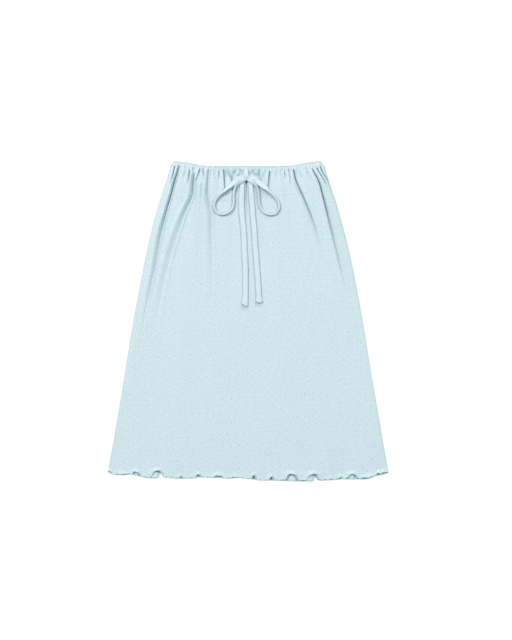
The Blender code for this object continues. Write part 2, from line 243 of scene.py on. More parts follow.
world = bpy.data.worlds.new("studio")
world.use_nodes = True
world.node_tree.nodes["Background"].inputs["Color"].default_value = (*SKY_COLOUR, 1.0)
world.node_tree.nodes["Background"].inputs["Strength"].default_value = SKY_STRENGTH
bpy.context.scene.world = world
bpy.context.scene.view_settings.view_transform = "Standard"
for box in BOXES:
    soft_box(box.name, box.place, BOX_SIZE, box.watts)

floor_form = bmesh.new()
bmesh.ops.create_grid(floor_form, x_segments=1, y_segments=1, size=FLOOR_SIZE / 2)
floor_mesh = bpy.data.meshes.new("floor")
floor_form.to_mesh(floor_mesh)
floor_form.free()
floor = bpy.data.objects.new("floor", floor_mesh)
floor_paint = bpy.data.materials.new("floor_paper")
floor_paint.use_nodes = True
paper = floor_paint.node_tree.nodes["Principled BSDF"]
paper.inputs["Base Color"].default_value = (FLOOR_PALE, FLOOR_PALE, FLOOR_PALE, 1.0)
paper.inputs["Roughness"].default_value = FLOOR_ROUGH
paper.inputs["Emission Color"].default_value = (1.0, 1.0, 1.0, 1.0)
paper.inputs["Emission Strength"].default_value = FLOOR_GLOW
floor_mesh.materials.append(floor_paint)
bpy.context.scene.collection.objects.link(floor)
floor.location.z = -FLOOR_BELOW
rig.stage(floor)
print("floor", FLOOR_SIZE, "m")

# %% [markdown]
# ## Reading a table as a curve
# The outline, the hem and each fold are short tables of sizes taken from the skirt, in
# millimetres. One helper reads any such table as a smooth curve, for a single place or for a
# whole array of them, so the fine meshes below have no corners at the table's rows. Another adds
# up sine waves of unlike lengths, which look irregular and are the same each time.

# %% Smooth tables and waves
Wobble = namedtuple("Wobble", "size length phase")


def smooth(at, places, values):
    """Read a table as a smooth curve through its rows, held level past both ends."""
    places = np.asarray(places, float)
    values = np.asarray(values, float)
    slopes = np.gradient(values, places)
    low = np.clip(np.searchsorted(places, at) - 1, 0, len(places) - 2)
    span = places[low + 1] - places[low]
    t = np.clip((at - places[low]) / span, 0.0, 1.0)
    start = values[low] * (1 + 2 * t) * (1 - t) ** 2 + slopes[low] * span * t * (1 - t) ** 2
    end = values[low + 1] * t * t * (3 - 2 * t) + slopes[low + 1] * span * t * t * (t - 1)
    return start + end


def wobble(at, rows):
    """The sum of a few sine waves at a place."""
    return sum(row.size * np.sin(at / row.length + row.phase) for row in rows)


print("halfway up a step of 2 a table gives", float(smooth(0.5, (0, 1), (0, 2))))

# %% [markdown]
# ## Outline
# The waist edge dips between its corners, the sides bow out below it and the hem swings gently.
# All sizes were read from the photograph: `up` and `across` are measured from the middle of the
# skirt, and `down` from the corners of the waist. The right side bows out a little more.

# %% Outline
TOP = 339.0
SIDE_END = 657.0
OUTLINE_DOWN = (0, 17, 81, 166, 293, 463, 657)
OUTLINE_HALF = (160.5, 164.7, 185.0, 208.3, 234.8, 263.5, 296.4)
WAIST_ACROSS = (0, 60, 90, 103, 120, 135, 157, 170)
WAIST_EDGE = (330.8, 330.8, 331.2, 332.8, 336.6, 338.9, 341.0, 341.2)
HEM_ACROSS = (-297, -285, -240, -200, -100, 0, 100, 200, 255, 275, 297)
HEM_EDGE = (-318, -324, -327.5, -331.5, -333, -334.5, -338.6, -336.8, -333.5, -326, -319)
HEM_WAVE_ACROSS = (-290, -275, -262, -250, -230, -207, -188, -169, -145, -122, -106, -90, -69, -37,
                   -16, 5, 27, 58, 112, 165, 197, 218, 239, 256, 269, 282)
HEM_WAVE = (-0.6, 1.7, 2.1, 3.2, 0.6, -1.3, 0.8, 2.5, 0.4, 0.6, 1.8, 3.0, 1.5, 1.1,
            2.8, 1.0, -0.9, 0.4, 0.0, 1.5, 2.3, 2.6, 2.1, 0.0, 0.6, -1.5)
SIDE_DOWN = (0, 60, 130, 200, 460, 657)
LEFT_MORE = (0.6, 0.4, 1.2, 0.4, 0.0, 0.0)
RIGHT_MORE = (0.0, 0.9, 1.6, 2.3, 2.7, 2.4)
SIDE_FROM = 0.75
CASING_HIGH = 10.5


def half_width(down):
    """Half the skirt's laid width at a distance below the waist corners."""
    return smooth(down, OUTLINE_DOWN, OUTLINE_HALF)


def seam(across):
    """Height of the seam between the casing and a panel."""
    return smooth(np.abs(across), WAIST_ACROSS, WAIST_EDGE) - CASING_HIGH


def hem(across):
    """Height of the hem before it curls."""
    return smooth(across, HEM_ACROSS, HEM_EDGE) + smooth(across, HEM_WAVE_ACROSS, HEM_WAVE)


def side_out(across, up):
    """How far the skirt's sides bow out past their mean line, more so on the right."""
    down = TOP - up
    share = across / half_width(down)
    near = np.clip((np.abs(share) - SIDE_FROM) / (1 - SIDE_FROM), 0, 1)
    right, left = smooth(down, SIDE_DOWN, RIGHT_MORE), smooth(down, SIDE_DOWN, LEFT_MORE)
    return np.where(share > 0, right, -left) * near


print("hem is", round(2 * float(half_width(SIDE_END))), "mm wide")

# %% [markdown]
# ## Folds
# Gathered cloth falls from the casing in folds: long ones near the sides and short ones between.
# Each row is one trough, with its place across at seven distances down, how far it reaches to
# its left and right, how deep it is, and where it starts and ends below the seam. A trough is a
# crease with a low ridge on both sides. The front panel is lifted by its fullness, so a deep
# trough reaches back down to the back panel.

# %% Fold table
WALL = 1.3
GAP = 0.3
FRONT_TOP = 2 * WALL + GAP
PUFF_BELOW = (0, 12, 30, 60, 120, 200, 320, 650)
PUFF_HEIGHT = (3.4, 5.4, 6.8, 6.2, 4.6, 3.4, 2.2, 0.6)
PUFF_MIDDLE = 0.72
PUFF_SIDE = 1.12
PUFF_SPREAD = 0.7
SIDE_ROUND = 9.0
FOLD_DOWN = (17, 40, 70, 110, 160, 220, 300)
Fold = namedtuple("Fold", "at_17 at_40 at_70 at_110 at_160 at_220 at_300 left right depth start end")
FOLDS = [Fold(*row) for row in (
    (-155.6, -161.0, -170.0, -182.0, -195.0, -209.0, -226.0, 2.8, 2.8, 5.2, -2, 44),
    (-147.0, -153.8, -161.8, -173.0, -185.8, -196.5, -213.0, 6.0, 3.0, 7.4, -3, 370),
    (-138.0, -146.5, -156.0, -167.0, -179.0, -190.0, -206.0, 5.0, 5.0, 1.6, 4, 38),
    (-123.3, -125.7, -135.0, -152.0, -169.0, -185.0, -203.0, 4.0, 4.0, 5.6, 2, 42),
    (-116.5, -119.5, -127.0, -144.0, -161.0, -178.0, -196.0, 2.0, 2.0, 2.6, -7, 12),
    (-112.6, -114.8, -117.6, -134.5, -152.2, -169.5, -187.0, 9.0, 4.8, 7.2, 8, 340),
    (-104.0, -106.5, -108.8, -112.0, -118.0, -125.0, -133.0, 3.0, 3.0, 1.4, 28, 120),
    (-101.5, -109.0, -113.0, -128.0, -146.0, -163.0, -180.0, 2.6, 2.6, 4.8, -6, 36),
    (-94.8, -92.0, -97.0, -112.0, -128.0, -142.0, -156.0, 2.4, 2.4, 3.4, -7, 20),
    (-95.0, -97.0, -98.8, -100.6, -103.0, -106.0, -110.0, 3.0, 3.0, 1.6, 26, 120),
    (-82.5, -84.4, -85.2, -79.8, -77.8, -76.4, -74.5, 8.0, 5.0, 4.6, -5, 310),
    (-59.7, -62.0, -65.0, -62.0, -57.0, -52.0, -46.0, 2.8, 2.8, 3.6, -1, 22),
    (-50.6, -49.0, -47.0, -44.0, -41.0, -37.0, -32.0, 3.4, 3.0, 5.6, -6, 60),
    (-31.5, -33.4, -33.0, -30.0, -27.0, -23.0, -18.0, 2.6, 2.6, 2.6, 6, 26),
    (-18.0, -18.6, -18.0, -16.0, -14.0, -12.0, -10.0, 2.4, 2.4, 2.0, 0, 20),
    (-2.0, -2.2, -2.6, -1.5, 0.0, 2.0, 4.0, 4.4, 4.4, 4.6, 10, 125),
    (13.0, 14.0, 15.0, 16.0, 18.0, 20.0, 22.0, 2.4, 2.4, 2.0, 0, 20),
    (24.2, 25.5, 27.0, 28.0, 30.0, 32.0, 35.0, 2.8, 2.8, 2.6, 0, 26),
    (47.4, 45.3, 43.6, 43.0, 44.0, 47.0, 52.0, 3.4, 2.8, 5.6, -1, 58),
    (78.5, 80.0, 83.0, 87.0, 92.0, 98.0, 106.0, 2.4, 2.4, 3.2, -1, 20),
    (88.0, 91.0, 97.0, 105.0, 114.0, 124.0, 136.0, 4.5, 4.0, 3.4, -8, 40),
    (98.0, 103.1, 116.4, 133.0, 149.5, 165.0, 182.0, 5.0, 3.0, 7.6, -4, 190),
    (124.8, 136.0, 150.0, 158.0, 171.0, 186.0, 204.0, 6.5, 6.0, 3.0, -3, 36),
    (138.5, 149.8, 158.4, 168.5, 180.5, 195.0, 214.0, 3.0, 5.5, 7.6, 3, 290),
    (148.4, 162.0, 174.0, 187.5, 200.5, 214.0, 231.0, 2.8, 2.8, 6.0, 1, 54),
    (156.0, 169.0, 180.5, 194.0, 206.5, 220.0, 236.0, 2.6, 2.6, 6.0, -1, 62),
)]
CREASE_SHARP = 2.4
RIDGE_SHARE = 0.34
RIDGE_WIDE = 0.45
REACH_AT_SEAM = 0.6
REACH_MOST = 1.3
REACH_GROWS = 200.0
FOLD_STARTS = 5.0
FOLD_FADES = 1.2

print(len(FOLDS), "folds, the longest", max(fold.end for fold in FOLDS), "mm")

# %% Height of the folds


def fold_line(fold, down):
    """A fold's place across, as a share of the half width, at a distance down."""
    places = np.array(fold[:len(FOLD_DOWN)]) / half_width(np.array(FOLD_DOWN, float))
    return smooth(down, FOLD_DOWN, places)


def fold_fade(fold, below):
    """How much of a fold's depth is left at a distance below the seam."""
    starts = np.clip((below - fold.start) / FOLD_STARTS, 0, 1)
    return starts * np.clip(1 - (np.maximum(below, 0) / fold.end) ** 2, 0, 1) ** FOLD_FADES


def fold_height(across, up):
    """Height of the front panel's folds above the back panel, from the waist down."""
    below = seam(across) - up
    half = half_width(TOP - up)
    share = np.abs(across) / half
    bulge = PUFF_MIDDLE + (PUFF_SIDE - PUFF_MIDDLE) * np.clip(share / PUFF_SPREAD, 0, 1) ** 2
    height = smooth(np.maximum(below, 0), PUFF_BELOW, PUFF_HEIGHT) * bulge
    grow = np.clip(REACH_AT_SEAM + below / REACH_GROWS, REACH_AT_SEAM, REACH_MOST)
    for fold in FOLDS:
        away = across - fold_line(fold, TOP - up) * half
        away = np.abs(away) / (np.where(away < 0, fold.left, fold.right) * grow)
        trough = np.clip(1 - away, 0, 1) ** CREASE_SHARP
        ridge = RIDGE_SHARE * np.exp(-((away - 1) / RIDGE_WIDE) ** 2)
        height = height - fold.depth * fold_fade(fold, below) * (trough - ridge)
    return height


print("the front lies", round(float(fold_height(60.0, 250.0)), 1), "mm above the back near the bow")

# %% [markdown]
# ## Crinkles
# The pull of the bow leaves short crinkles and soft hollows around it, and the waist's corners
# have a few too. Each row is one dent: its middle, its half sizes, how far it leans to the right
# for each millimetre up, and its depth.

# %% Crinkle table
Crinkle = namedtuple("Crinkle", "across up half_wide half_high lean depth")
CRINKLES = [Crinkle(*row) for row in (
    (-43.0, 316.0, 2.6, 7.0, 0.2, 2.2), (-36.5, 309.0, 2.6, 8.0, -0.4, 2.6),
    (-33.3, 300.7, 2.2, 5.0, 0.0, 2.4), (-27.0, 317.0, 2.2, 6.0, 0.5, 2.4),
    (-20.0, 309.5, 4.5, 2.6, 0.3, 2.0), (-14.0, 319.0, 2.2, 6.0, -0.5, 2.2),
    (10.5, 318.0, 2.2, 6.5, 0.5, 2.2), (18.0, 311.0, 4.0, 2.6, -0.3, 2.0),
    (24.0, 315.0, 2.0, 8.0, 0.1, 2.8), (28.2, 300.7, 2.2, 5.0, 0.0, 2.2),
    (34.0, 311.0, 2.6, 7.0, 0.5, 2.0), (61.0, 313.0, 3.0, 9.0, 0.2, 1.2),
    (-71.0, 312.0, 3.0, 9.0, -0.2, 1.3), (-134.0, 313.0, 3.2, 10.0, 0.3, 1.3),
    (112.0, 312.0, 3.2, 10.0, -0.3, 1.3), (-33.0, 313.0, 10.0, 7.0, 0.0, 0.7),
    (25.0, 314.0, 10.0, 7.0, 0.0, 0.7), (-45.0, 268.0, 6.0, 14.0, 0.0, 0.5),
    (36.0, 268.0, 7.0, 13.0, -0.3, 0.6), (-89.0, 274.0, 8.0, 26.0, 0.0, 0.4),
)]


def dent_share(dent, across, up):
    """How much of a crinkle's depth there is at a place."""
    off = (across - dent.across - dent.lean * (up - dent.up)) / dent.half_wide
    return np.exp(-off ** 2 - ((up - dent.up) / dent.half_high) ** 2)


print(len(CRINKLES), "crinkles, the deepest", max(dent.depth for dent in CRINKLES), "mm")

# %% [markdown]
# ## Painted shade in the creases
# Tight creases are darker than the mesh's shape alone makes them, so their shade is painted into the colour. Each
# point of the front keeps a value from 0 to 1, worked out from the same tables: high in the core of a steep fold,
# lower in a crinkle and where the cloth turns over at the sides. The knit's material reads it further down, and
# darkens the colour by it with painted shade.

# %% Painted shade in the creases
PAINTED_SHADE_SHARE = 0.75
CORE_HALF = 1.4
CORE_STEEP = 1.7
SIDE_LINE = 1.8
SIDE_SHADE = 0.4
CRINKLE_SHADE = 0.32


def painted_crease_shade(across, up):
    """How much painted shade a place on the front gets from a crease: 0 on smooth cloth, 1 in a steep crease."""
    below = seam(across) - up
    half = half_width(TOP - up)
    dark = SIDE_SHADE * np.exp(-((half - np.abs(across)) / SIDE_LINE) ** 2)
    for fold in FOLDS:
        away = across - fold_line(fold, TOP - up) * half
        core = np.exp(-(away / CORE_HALF) ** 2) * fold_fade(fold, below)
        steep = 2 * fold.depth / (fold.left + fold.right)
        dark = np.maximum(dark, core * min(steep / CORE_STEEP, 1.0))
    for dent in CRINKLES:
        dark = dark + CRINKLE_SHADE * dent.depth * dent_share(dent, across, up)
    return np.clip(dark, 0.0, 1.0)


print("plain cloth keeps", round(float(painted_crease_shade(60.0, 0.0)), 2), "of a crease's shade")

# %% [markdown]
# ## Small gathers
# Between the folds a gathered seam is never smooth. Small puckers a few millimetres apart start
# at the stitches and die out within a finger's width, and lower down the cloth has only broad,
# shallow waves. Each wave keeps to the cloth's grain, so it spreads with the skirt's width. The
# last three fade so slowly that they reach the hem.

# %% Puckers and waves
PUCKER_PITCH = 7.2
PUCKER_HEIGHT = 0.6
PUCKER_FADE = 11.0
PUCKER_DRIFT = (Wobble(1.6, 17.0, 0.0), Wobble(1.1, 7.3, 1.0))
WAVE_DRIFT = 0.25 * math.pi
WAVE_DRIFT_LENGTH = 90.0
Wave = namedtuple("Wave", "length phase height fade")
WAVES = [Wave(*row) for row in (
    (13.7, 0.4, 0.50, 34.0), (21.3, 2.1, 0.70, 60.0), (34.9, 4.0, 0.60, 110.0),
    (61.0, 1.0, 0.34, 9000.0), (93.0, 3.4, 0.42, 9000.0), (151.0, 5.2, 0.40, 9000.0),
)]


def gather_height(across, up):
    """Height of the puckers and shallow waves at a place on a panel."""
    below = np.maximum(seam(across) - up, 0.0)
    grain = across / half_width(TOP - up) * half_width(TOP / 2)
    place = across + wobble(across, PUCKER_DRIFT)
    pucker = np.sin(2 * math.pi * place / PUCKER_PITCH)
    height = PUCKER_HEIGHT * np.exp(-below / PUCKER_FADE) * pucker
    for wave in WAVES:
        drift = WAVE_DRIFT * np.sin(up / WAVE_DRIFT_LENGTH + wave.phase)
        turn = 2 * math.pi * grain / wave.length + wave.phase + drift
        height = height + wave.height * np.exp(-below / wave.fade) * np.sin(turn)
    for dent in CRINKLES:
        height = height - dent.depth * dent_share(dent, across, up)
    return height


print("about", round(2 * OUTLINE_HALF[0] / PUCKER_PITCH), "puckers along the seam")

# %% [markdown]
# ## Hem curls
# A lettuce hem is longer along its edge than the cloth above it, so it cannot lie flat: it lifts in short arches and
# is pulled in towards the waist there. Each row is one arch, from left to right. An arch has a flat top and steep
# legs, and the cloth behind it makes a round hump. The back's hem has curls of its own, and where both are pulled in,
# the floor shows. Small waves between the arches keep the rest of the edge alive. The narrowest openings look almost
# black, so a last table says where the back is given painted shade in them.

# %% Curl tables
Curl = namedtuple("Curl", "across half_width lift pull sway", defaults=(0.0,))
Pit = namedtuple("Pit", "across half_width high dark")
FRONT_CURLS = [Curl(*row) for row in (
    (-292.5, 3.0, 2.0, 2.0), (-269.0, 8.0, 1.2, 1.2), (-258.5, 3.0, 1.5, 1.6, 0.5),
    (-236.5, 6.2, 4.4, 7.0, 1.2), (-194.5, 8.2, 5.8, 16.0, 3.0), (-183.6, 4.2, 2.0, 7.0, 0.5),
    (-141.3, 2.2, 3.6, 5.6), (-105.0, 4.4, 4.0, 6.0, 1.6), (-62.0, 7.0, 3.8, 5.6),
    (-29.0, 6.0, 0.8, 1.4), (13.0, 3.2, 5.0, 7.4, 0.6), (49.2, 3.4, 5.0, 6.6, 2.0),
    (93.5, 10.0, 5.6, 15.5, 1.0), (138.0, 10.0, 5.6, 14.5, 2.5), (175.6, 3.0, 1.6, 1.2),
    (196.2, 3.2, 3.2, 4.2, 0.4), (221.5, 8.0, 4.8, 10.0, 1.0), (252.0, 11.0, 2.6, 2.6),
    (276.8, 2.8, 3.2, 4.2), (288.5, 5.0, 3.0, 3.4),
)]
BACK_CURLS = [Curl(*row) for row in (
    (-236.0, 3.4, 3.4, 0.8), (-197.0, 6.0, 5.0, 1.0), (-183.4, 4.2, 0.8, 9.0),
    (-141.3, 2.2, 0.8, 0.4), (-104.5, 4.4, 0.6, 1.2), (-62.0, 6.6, 0.6, 1.6),
    (13.4, 2.0, 0.8, 0.4), (49.6, 2.0, 0.8, 0.4), (94.5, 7.0, 5.0, 1.6),
    (132.5, 6.0, 5.0, 0.0), (144.2, 3.6, 1.0, 7.5), (200.8, 2.0, 0.5, 2.2),
    (221.0, 4.6, 4.6, 0.6),
)]
HEM_PIT_PAINTED_SHADES = [Pit(*row) for row in (
    (-236.5, 5.0, 9.0, 0.35), (-141.3, 2.4, 7.0, 1.0), (-105.0, 3.6, 8.0, 1.0),
    (-62.0, 6.0, 8.0, 1.0), (13.0, 2.8, 9.0, 1.0), (49.2, 2.8, 9.0, 1.0),
    (138.0, 5.0, 15.0, 0.25), (196.2, 2.4, 6.0, 0.6), (221.5, 6.0, 11.0, 0.2),
    (276.8, 2.4, 6.0, 0.8),
)]
PIT_FROM = 1.6
PIT_FADE = 3.0
CURL_REACH = 30.0
HUMP_REACH = 7.0
HUMP_GROWS = 0.9
BACK_REACH = 24.0
ARCH_STEEP = 4
HUMP_WIDE = 1.15
HUMP_ROUND = 1.5
LEG_LEAN = 0.6
LEG_REACH = 1.7
RIPPLE_PITCH = 12.3
RIPPLE_HEIGHT = 0.44
RIPPLE_SHIFT = 1.9
RIPPLE_REACH = 10.0
RIPPLE_DRIFT = (Wobble(3.0, 31.0, 0.0), Wobble(2.0, 12.0, 2.0))

print(len(FRONT_CURLS), "curls, the highest lifts", max(row.lift for row in FRONT_CURLS), "mm")

# %% How the hem moves


def curl(across, above, table, reach, grows):
    """How far a table's curls lift, pull in and shift a point, at a distance above the hem. A
    hump reaches a length into the cloth, which grows with the curl's pull."""
    drag = np.clip(1 - above / CURL_REACH, 0, 1) ** 2
    lift = np.zeros_like(across)
    pull = np.zeros_like(across)
    shift = np.zeros_like(across)
    for row in table:
        away = (across - row.across) / row.half_width
        arch = 1 / (1 + np.abs(away) ** ARCH_STEEP)
        hump = np.clip(1 - (above / (reach + grows * row.pull)) ** 2, 0, 1) ** HUMP_ROUND
        legs = LEG_LEAN * row.half_width * away * (arch - 0.5) * np.exp(-(away / LEG_REACH) ** 2)
        lift = lift + row.lift * hump / (1 + np.abs(away / HUMP_WIDE) ** ARCH_STEEP)
        pull = pull + row.pull * arch * drag
        shift = shift + (row.sway * arch + legs) * drag
    return lift, pull, shift


def painted_pit_shade(across, above):
    """How much painted shade the back gets in the small openings under the front's arches."""
    dark = np.zeros_like(across)
    for pit in HEM_PIT_PAINTED_SHADES:
        inside = np.exp(-((across - pit.across) / pit.half_width) ** ARCH_STEEP)
        ends = np.clip((pit.high - above) / PIT_FADE + 1, 0, 1)
        rise = np.clip(above / PIT_FROM - 1, 0, 1) * ends
        dark = np.maximum(dark, pit.dark * inside * rise)
    return dark


def ripple(across, above):
    """Small waves of the hem between its curls."""
    near = np.clip(1 - above / RIPPLE_REACH, 0, 1) ** 2
    place = across + wobble(across, RIPPLE_DRIFT)
    return RIPPLE_HEIGHT * near * (1 + np.sin(2 * math.pi * place / RIPPLE_PITCH))


print("ripples are", RIPPLE_PITCH, "mm apart and", 2 * RIPPLE_HEIGHT, "mm high")

# %% [markdown]
# ## Knit, eyelets and colour
# Pointelle jersey is a plain knit with small open eyelets, left by moved stitches, in staggered
# rows. The knit's stitches are V-shaped and too small to model, so a node group works them out
# on the cloth's own coordinates, in metres, and gives a mask for the eyelets, a height for the
# bump and a slight change of shade. The skirt and the string share it with values of their own.

# %% Node helpers
NOISE_DETAIL = 2.0
MIX_SOCKETS = (0, 6, 7)


class Nodes:
    """Short calls that add nodes to a tree and join them up."""

    def __init__(self, tree):
        self.tree = tree

    def add(self, kind, **settings):
        """A node with its settings."""
        node = self.tree.nodes.new(kind)
        for name, value in settings.items():
            setattr(node, name, value)
        return node

    def put(self, socket, value):
        """Give a socket a number or a link."""
        if isinstance(value, bpy.types.NodeSocket):
            self.tree.links.new(value, socket)
        else:
            socket.default_value = value

    def math(self, operation, *values):
        """A math node's result."""
        node = self.add("ShaderNodeMath", operation=operation)
        for socket, value in zip(node.inputs, values):
            self.put(socket, value)
        return node.outputs[0]

    def ramp(self, value, low, high, to_low=0.0, to_high=1.0):
        """A smooth step of a value from one range to another."""
        node = self.add("ShaderNodeMapRange", interpolation_type="SMOOTHSTEP")
        for name, given in (("Value", value), ("From Min", low), ("From Max", high),
                            ("To Min", to_low), ("To Max", to_high)):
            self.put(node.inputs[name], given)
        return node.outputs["Result"]

    def mix(self, share, first, second, blend):
        """Two colours mixed or multiplied, by a share."""
        node = self.add("ShaderNodeMix", data_type="RGBA", blend_type=blend)
        for place, given in zip(MIX_SOCKETS, (share, first, second)):
            self.put(node.inputs[place], given)
        return node.outputs[2]

    def noise(self, vector, scale):
        """A noise texture's value."""
        node = self.add("ShaderNodeTexNoise", noise_dimensions="3D")
        for name, given in (("Vector", vector), ("Scale", scale), ("Detail", NOISE_DETAIL)):
            self.put(node.inputs[name], given)
        return node.outputs[0]

    def pair(self, first, second):
        """A vector of two numbers."""
        node = self.add("ShaderNodeCombineXYZ")
        self.put(node.inputs[0], first)
        self.put(node.inputs[1], second)
        return node.outputs[0]


def new_group(name, inputs, outputs):
    """An empty shader node group with named number or vector sockets."""
    group = bpy.data.node_groups.new(name, "ShaderNodeTree")
    for label, kind, default in inputs:
        socket = group.interface.new_socket(label, in_out="INPUT", socket_type=kind)
        if default is not None:
            socket.default_value = default
    for label in outputs:
        group.interface.new_socket(label, in_out="OUTPUT", socket_type="NodeSocketFloat")
    return group


print("node helpers ready")

# %% [markdown]
# ## The pointelle knit
# Eyelets stand in rows that slant a little, every second row half a step along, and some are more open than others.
# Around each runs a raised rim. A stitch is a pair of slanted legs in a narrow column, and two noises, one of them
# stretched along the yarn's columns, make the shade uneven. The rims and the stitches' legs are also painted a little
# lighter, a painted highlight on their raised parts.

# %% Pointelle group
EYELET_PITCH = 17.5 * MM
EYELET_ROWS = 24.9 * MM
EYELET_HALF_WIDE = 1.5 * MM
EYELET_HALF_HIGH = 3.3 * MM
EYELET_SKEW = math.tan(math.radians(4.0))
HOLE_EDGE = (1.5, 0.5)
RIM_OUTSIDE = (2.3, 1.5)
RIM_INSIDE = (0.9, 1.4)
OPEN_RANGE = (0.6, 1.0)
WALE = 1.45 * MM
COURSE = 1.1 * MM
STITCH_SLANT = -0.5
LOOP_DEPTH = 0.35
STREAKS_ACROSS = 260.0
STREAKS_ALONG = 14.0
MOTTLES = 170.0
Knit = namedtuple("Knit", "stitch rim hole")
KNIT_HEIGHT = Knit(0.35, 0.20, -0.40)
# The rim and stitch shares are a painted highlight on the raised parts; the streak and mottle shares are the knit's
# uneven tone.
RIM_PAINTED_HIGHLIGHT = 0.09
STITCH_PAINTED_HIGHLIGHT = 0.03
STREAK_SHADE = 0.07
MOTTLE_SHADE = 0.18


def pointelle_group():
    """Eyelet mask, height and shade of the knit, from coordinates in metres of cloth."""
    group = new_group("pointelle_knit", (
        ("Cloth", "NodeSocketVector", None),
        ("Eyelet Share", "NodeSocketFloat", 1.0),
        ("Stitch Share", "NodeSocketFloat", 1.0),
    ), ("Eyelet", "Height", "Shade"))
    make = Nodes(group)
    given = make.add("NodeGroupInput")
    result = make.add("NodeGroupOutput")
    split = make.add("ShaderNodeSeparateXYZ")
    make.put(split.inputs[0], given.outputs["Cloth"])
    across, along = split.outputs[0], split.outputs[1]

    skewed = make.math("MULTIPLY_ADD", across, -EYELET_SKEW, along)
    row_place = make.math("DIVIDE", skewed, EYELET_ROWS)
    row = make.math("FLOOR", row_place)
    half_step = make.math("MULTIPLY", make.math("FLOORED_MODULO", row, 2.0), 0.5)
    column_place = make.math("ADD", make.math("DIVIDE", across, EYELET_PITCH), half_step)
    from_column = make.math("SUBTRACT", make.math("FRACT", column_place), 0.5)
    from_row = make.math("SUBTRACT", make.math("FRACT", row_place), 0.5)
    wide = make.math("MULTIPLY", from_column, EYELET_PITCH / EYELET_HALF_WIDE)
    high = make.math("MULTIPLY", from_row, EYELET_ROWS / EYELET_HALF_HIGH)
    squares = make.math("ADD", make.math("POWER", wide, 2.0), make.math("POWER", high, 2.0))
    away = make.math("SQRT", squares)
    hole = make.ramp(away, *HOLE_EDGE)
    rim = make.math("MULTIPLY", make.ramp(away, *RIM_OUTSIDE), make.ramp(away, *RIM_INSIDE))
    chance = make.add("ShaderNodeTexWhiteNoise", noise_dimensions="2D")
    make.put(chance.inputs["Vector"], make.pair(make.math("FLOOR", column_place), row))
    openness = make.ramp(chance.outputs["Value"], 0.0, 1.0, *OPEN_RANGE)
    open_share = make.math("MULTIPLY", openness, given.outputs["Eyelet Share"])
    hole = make.math("MULTIPLY", hole, open_share)
    rim = make.math("MULTIPLY", rim, open_share)

    wale_place = make.math("SUBTRACT", make.math("FRACT", make.math("DIVIDE", across, WALE)), 0.5)
    side = make.math("MULTIPLY", make.math("ABSOLUTE", wale_place), 2.0)
    slant = make.math("MULTIPLY_ADD", side, STITCH_SLANT, make.math("DIVIDE", along, COURSE))
    loop = make.math("COSINE", make.math("MULTIPLY", slant, 2 * math.pi))
    loop = make.math("MULTIPLY_ADD", loop, LOOP_DEPTH, 1 - LOOP_DEPTH)
    leg = make.math("SINE", make.math("MULTIPLY", side, math.pi))
    stitch = make.math("MULTIPLY", make.math("MULTIPLY", loop, leg), given.outputs["Stitch Share"])

    stretched = make.pair(make.math("MULTIPLY", across, STREAKS_ACROSS),
                          make.math("MULTIPLY", along, STREAKS_ALONG))
    streak = make.math("SUBTRACT", make.noise(stretched, 1.0), 0.5)
    mottle = make.math("SUBTRACT", make.noise(given.outputs["Cloth"], MOTTLES), 0.5)

    height = make.math("MULTIPLY", rim, KNIT_HEIGHT.rim)
    height = make.math("MULTIPLY_ADD", stitch, KNIT_HEIGHT.stitch, height)
    height = make.math("MULTIPLY_ADD", hole, KNIT_HEIGHT.hole, height)
    # The shade is the knit's uneven tone from the streaks and mottles, plus a painted highlight on the rims and
    # stitches.
    shade = 1.0
    for value, share in ((streak, STREAK_SHADE), (mottle, MOTTLE_SHADE), (rim, RIM_PAINTED_HIGHLIGHT),
                         (stitch, STITCH_PAINTED_HIGHLIGHT)):
        shade = make.math("MULTIPLY_ADD", value, share, shade)
    for name, value in (("Eyelet", hole), ("Height", height), ("Shade", shade)):
        make.put(result.inputs[name], value)
    return group


POINTELLE = pointelle_group()
print("knit group has", len(POINTELLE.nodes), "nodes")

# %% [markdown]
# ## The knit's material
# The colour is a pale aqua. An eyelet is painted darker, as a painted shadow of the layer below seen through it, and
# the stitches and rims get a little painted highlight. A value that each cloth piece keeps for its creases darkens
# them with painted shade. Cotton jersey is matt with a soft sheen at grazing angles. The hem's thread is darker,
# partly because it is packed tight and partly as painted shade along the edge.

# %% Knit material
CLOTH_COLOUR = (0.565, 0.708, 0.738)
EYELET_SHADOW_COLOUR = (0.475, 0.622, 0.652)
TAPE_COLOUR = (0.578, 0.712, 0.742)
# A little darker than the cloth: partly the dense thread, partly painted shade along the hem's edge.
THREAD_AND_SHADE_COLOUR = (0.55, 0.692, 0.722)
PAINTED_SHADE_TINT = (0.30, 0.52, 0.55)
BUMP_DEPTH = 0.5 * MM
KNIT_ROUGH = 0.92
SHEEN = 0.12
SHEEN_ROUGH = 0.5


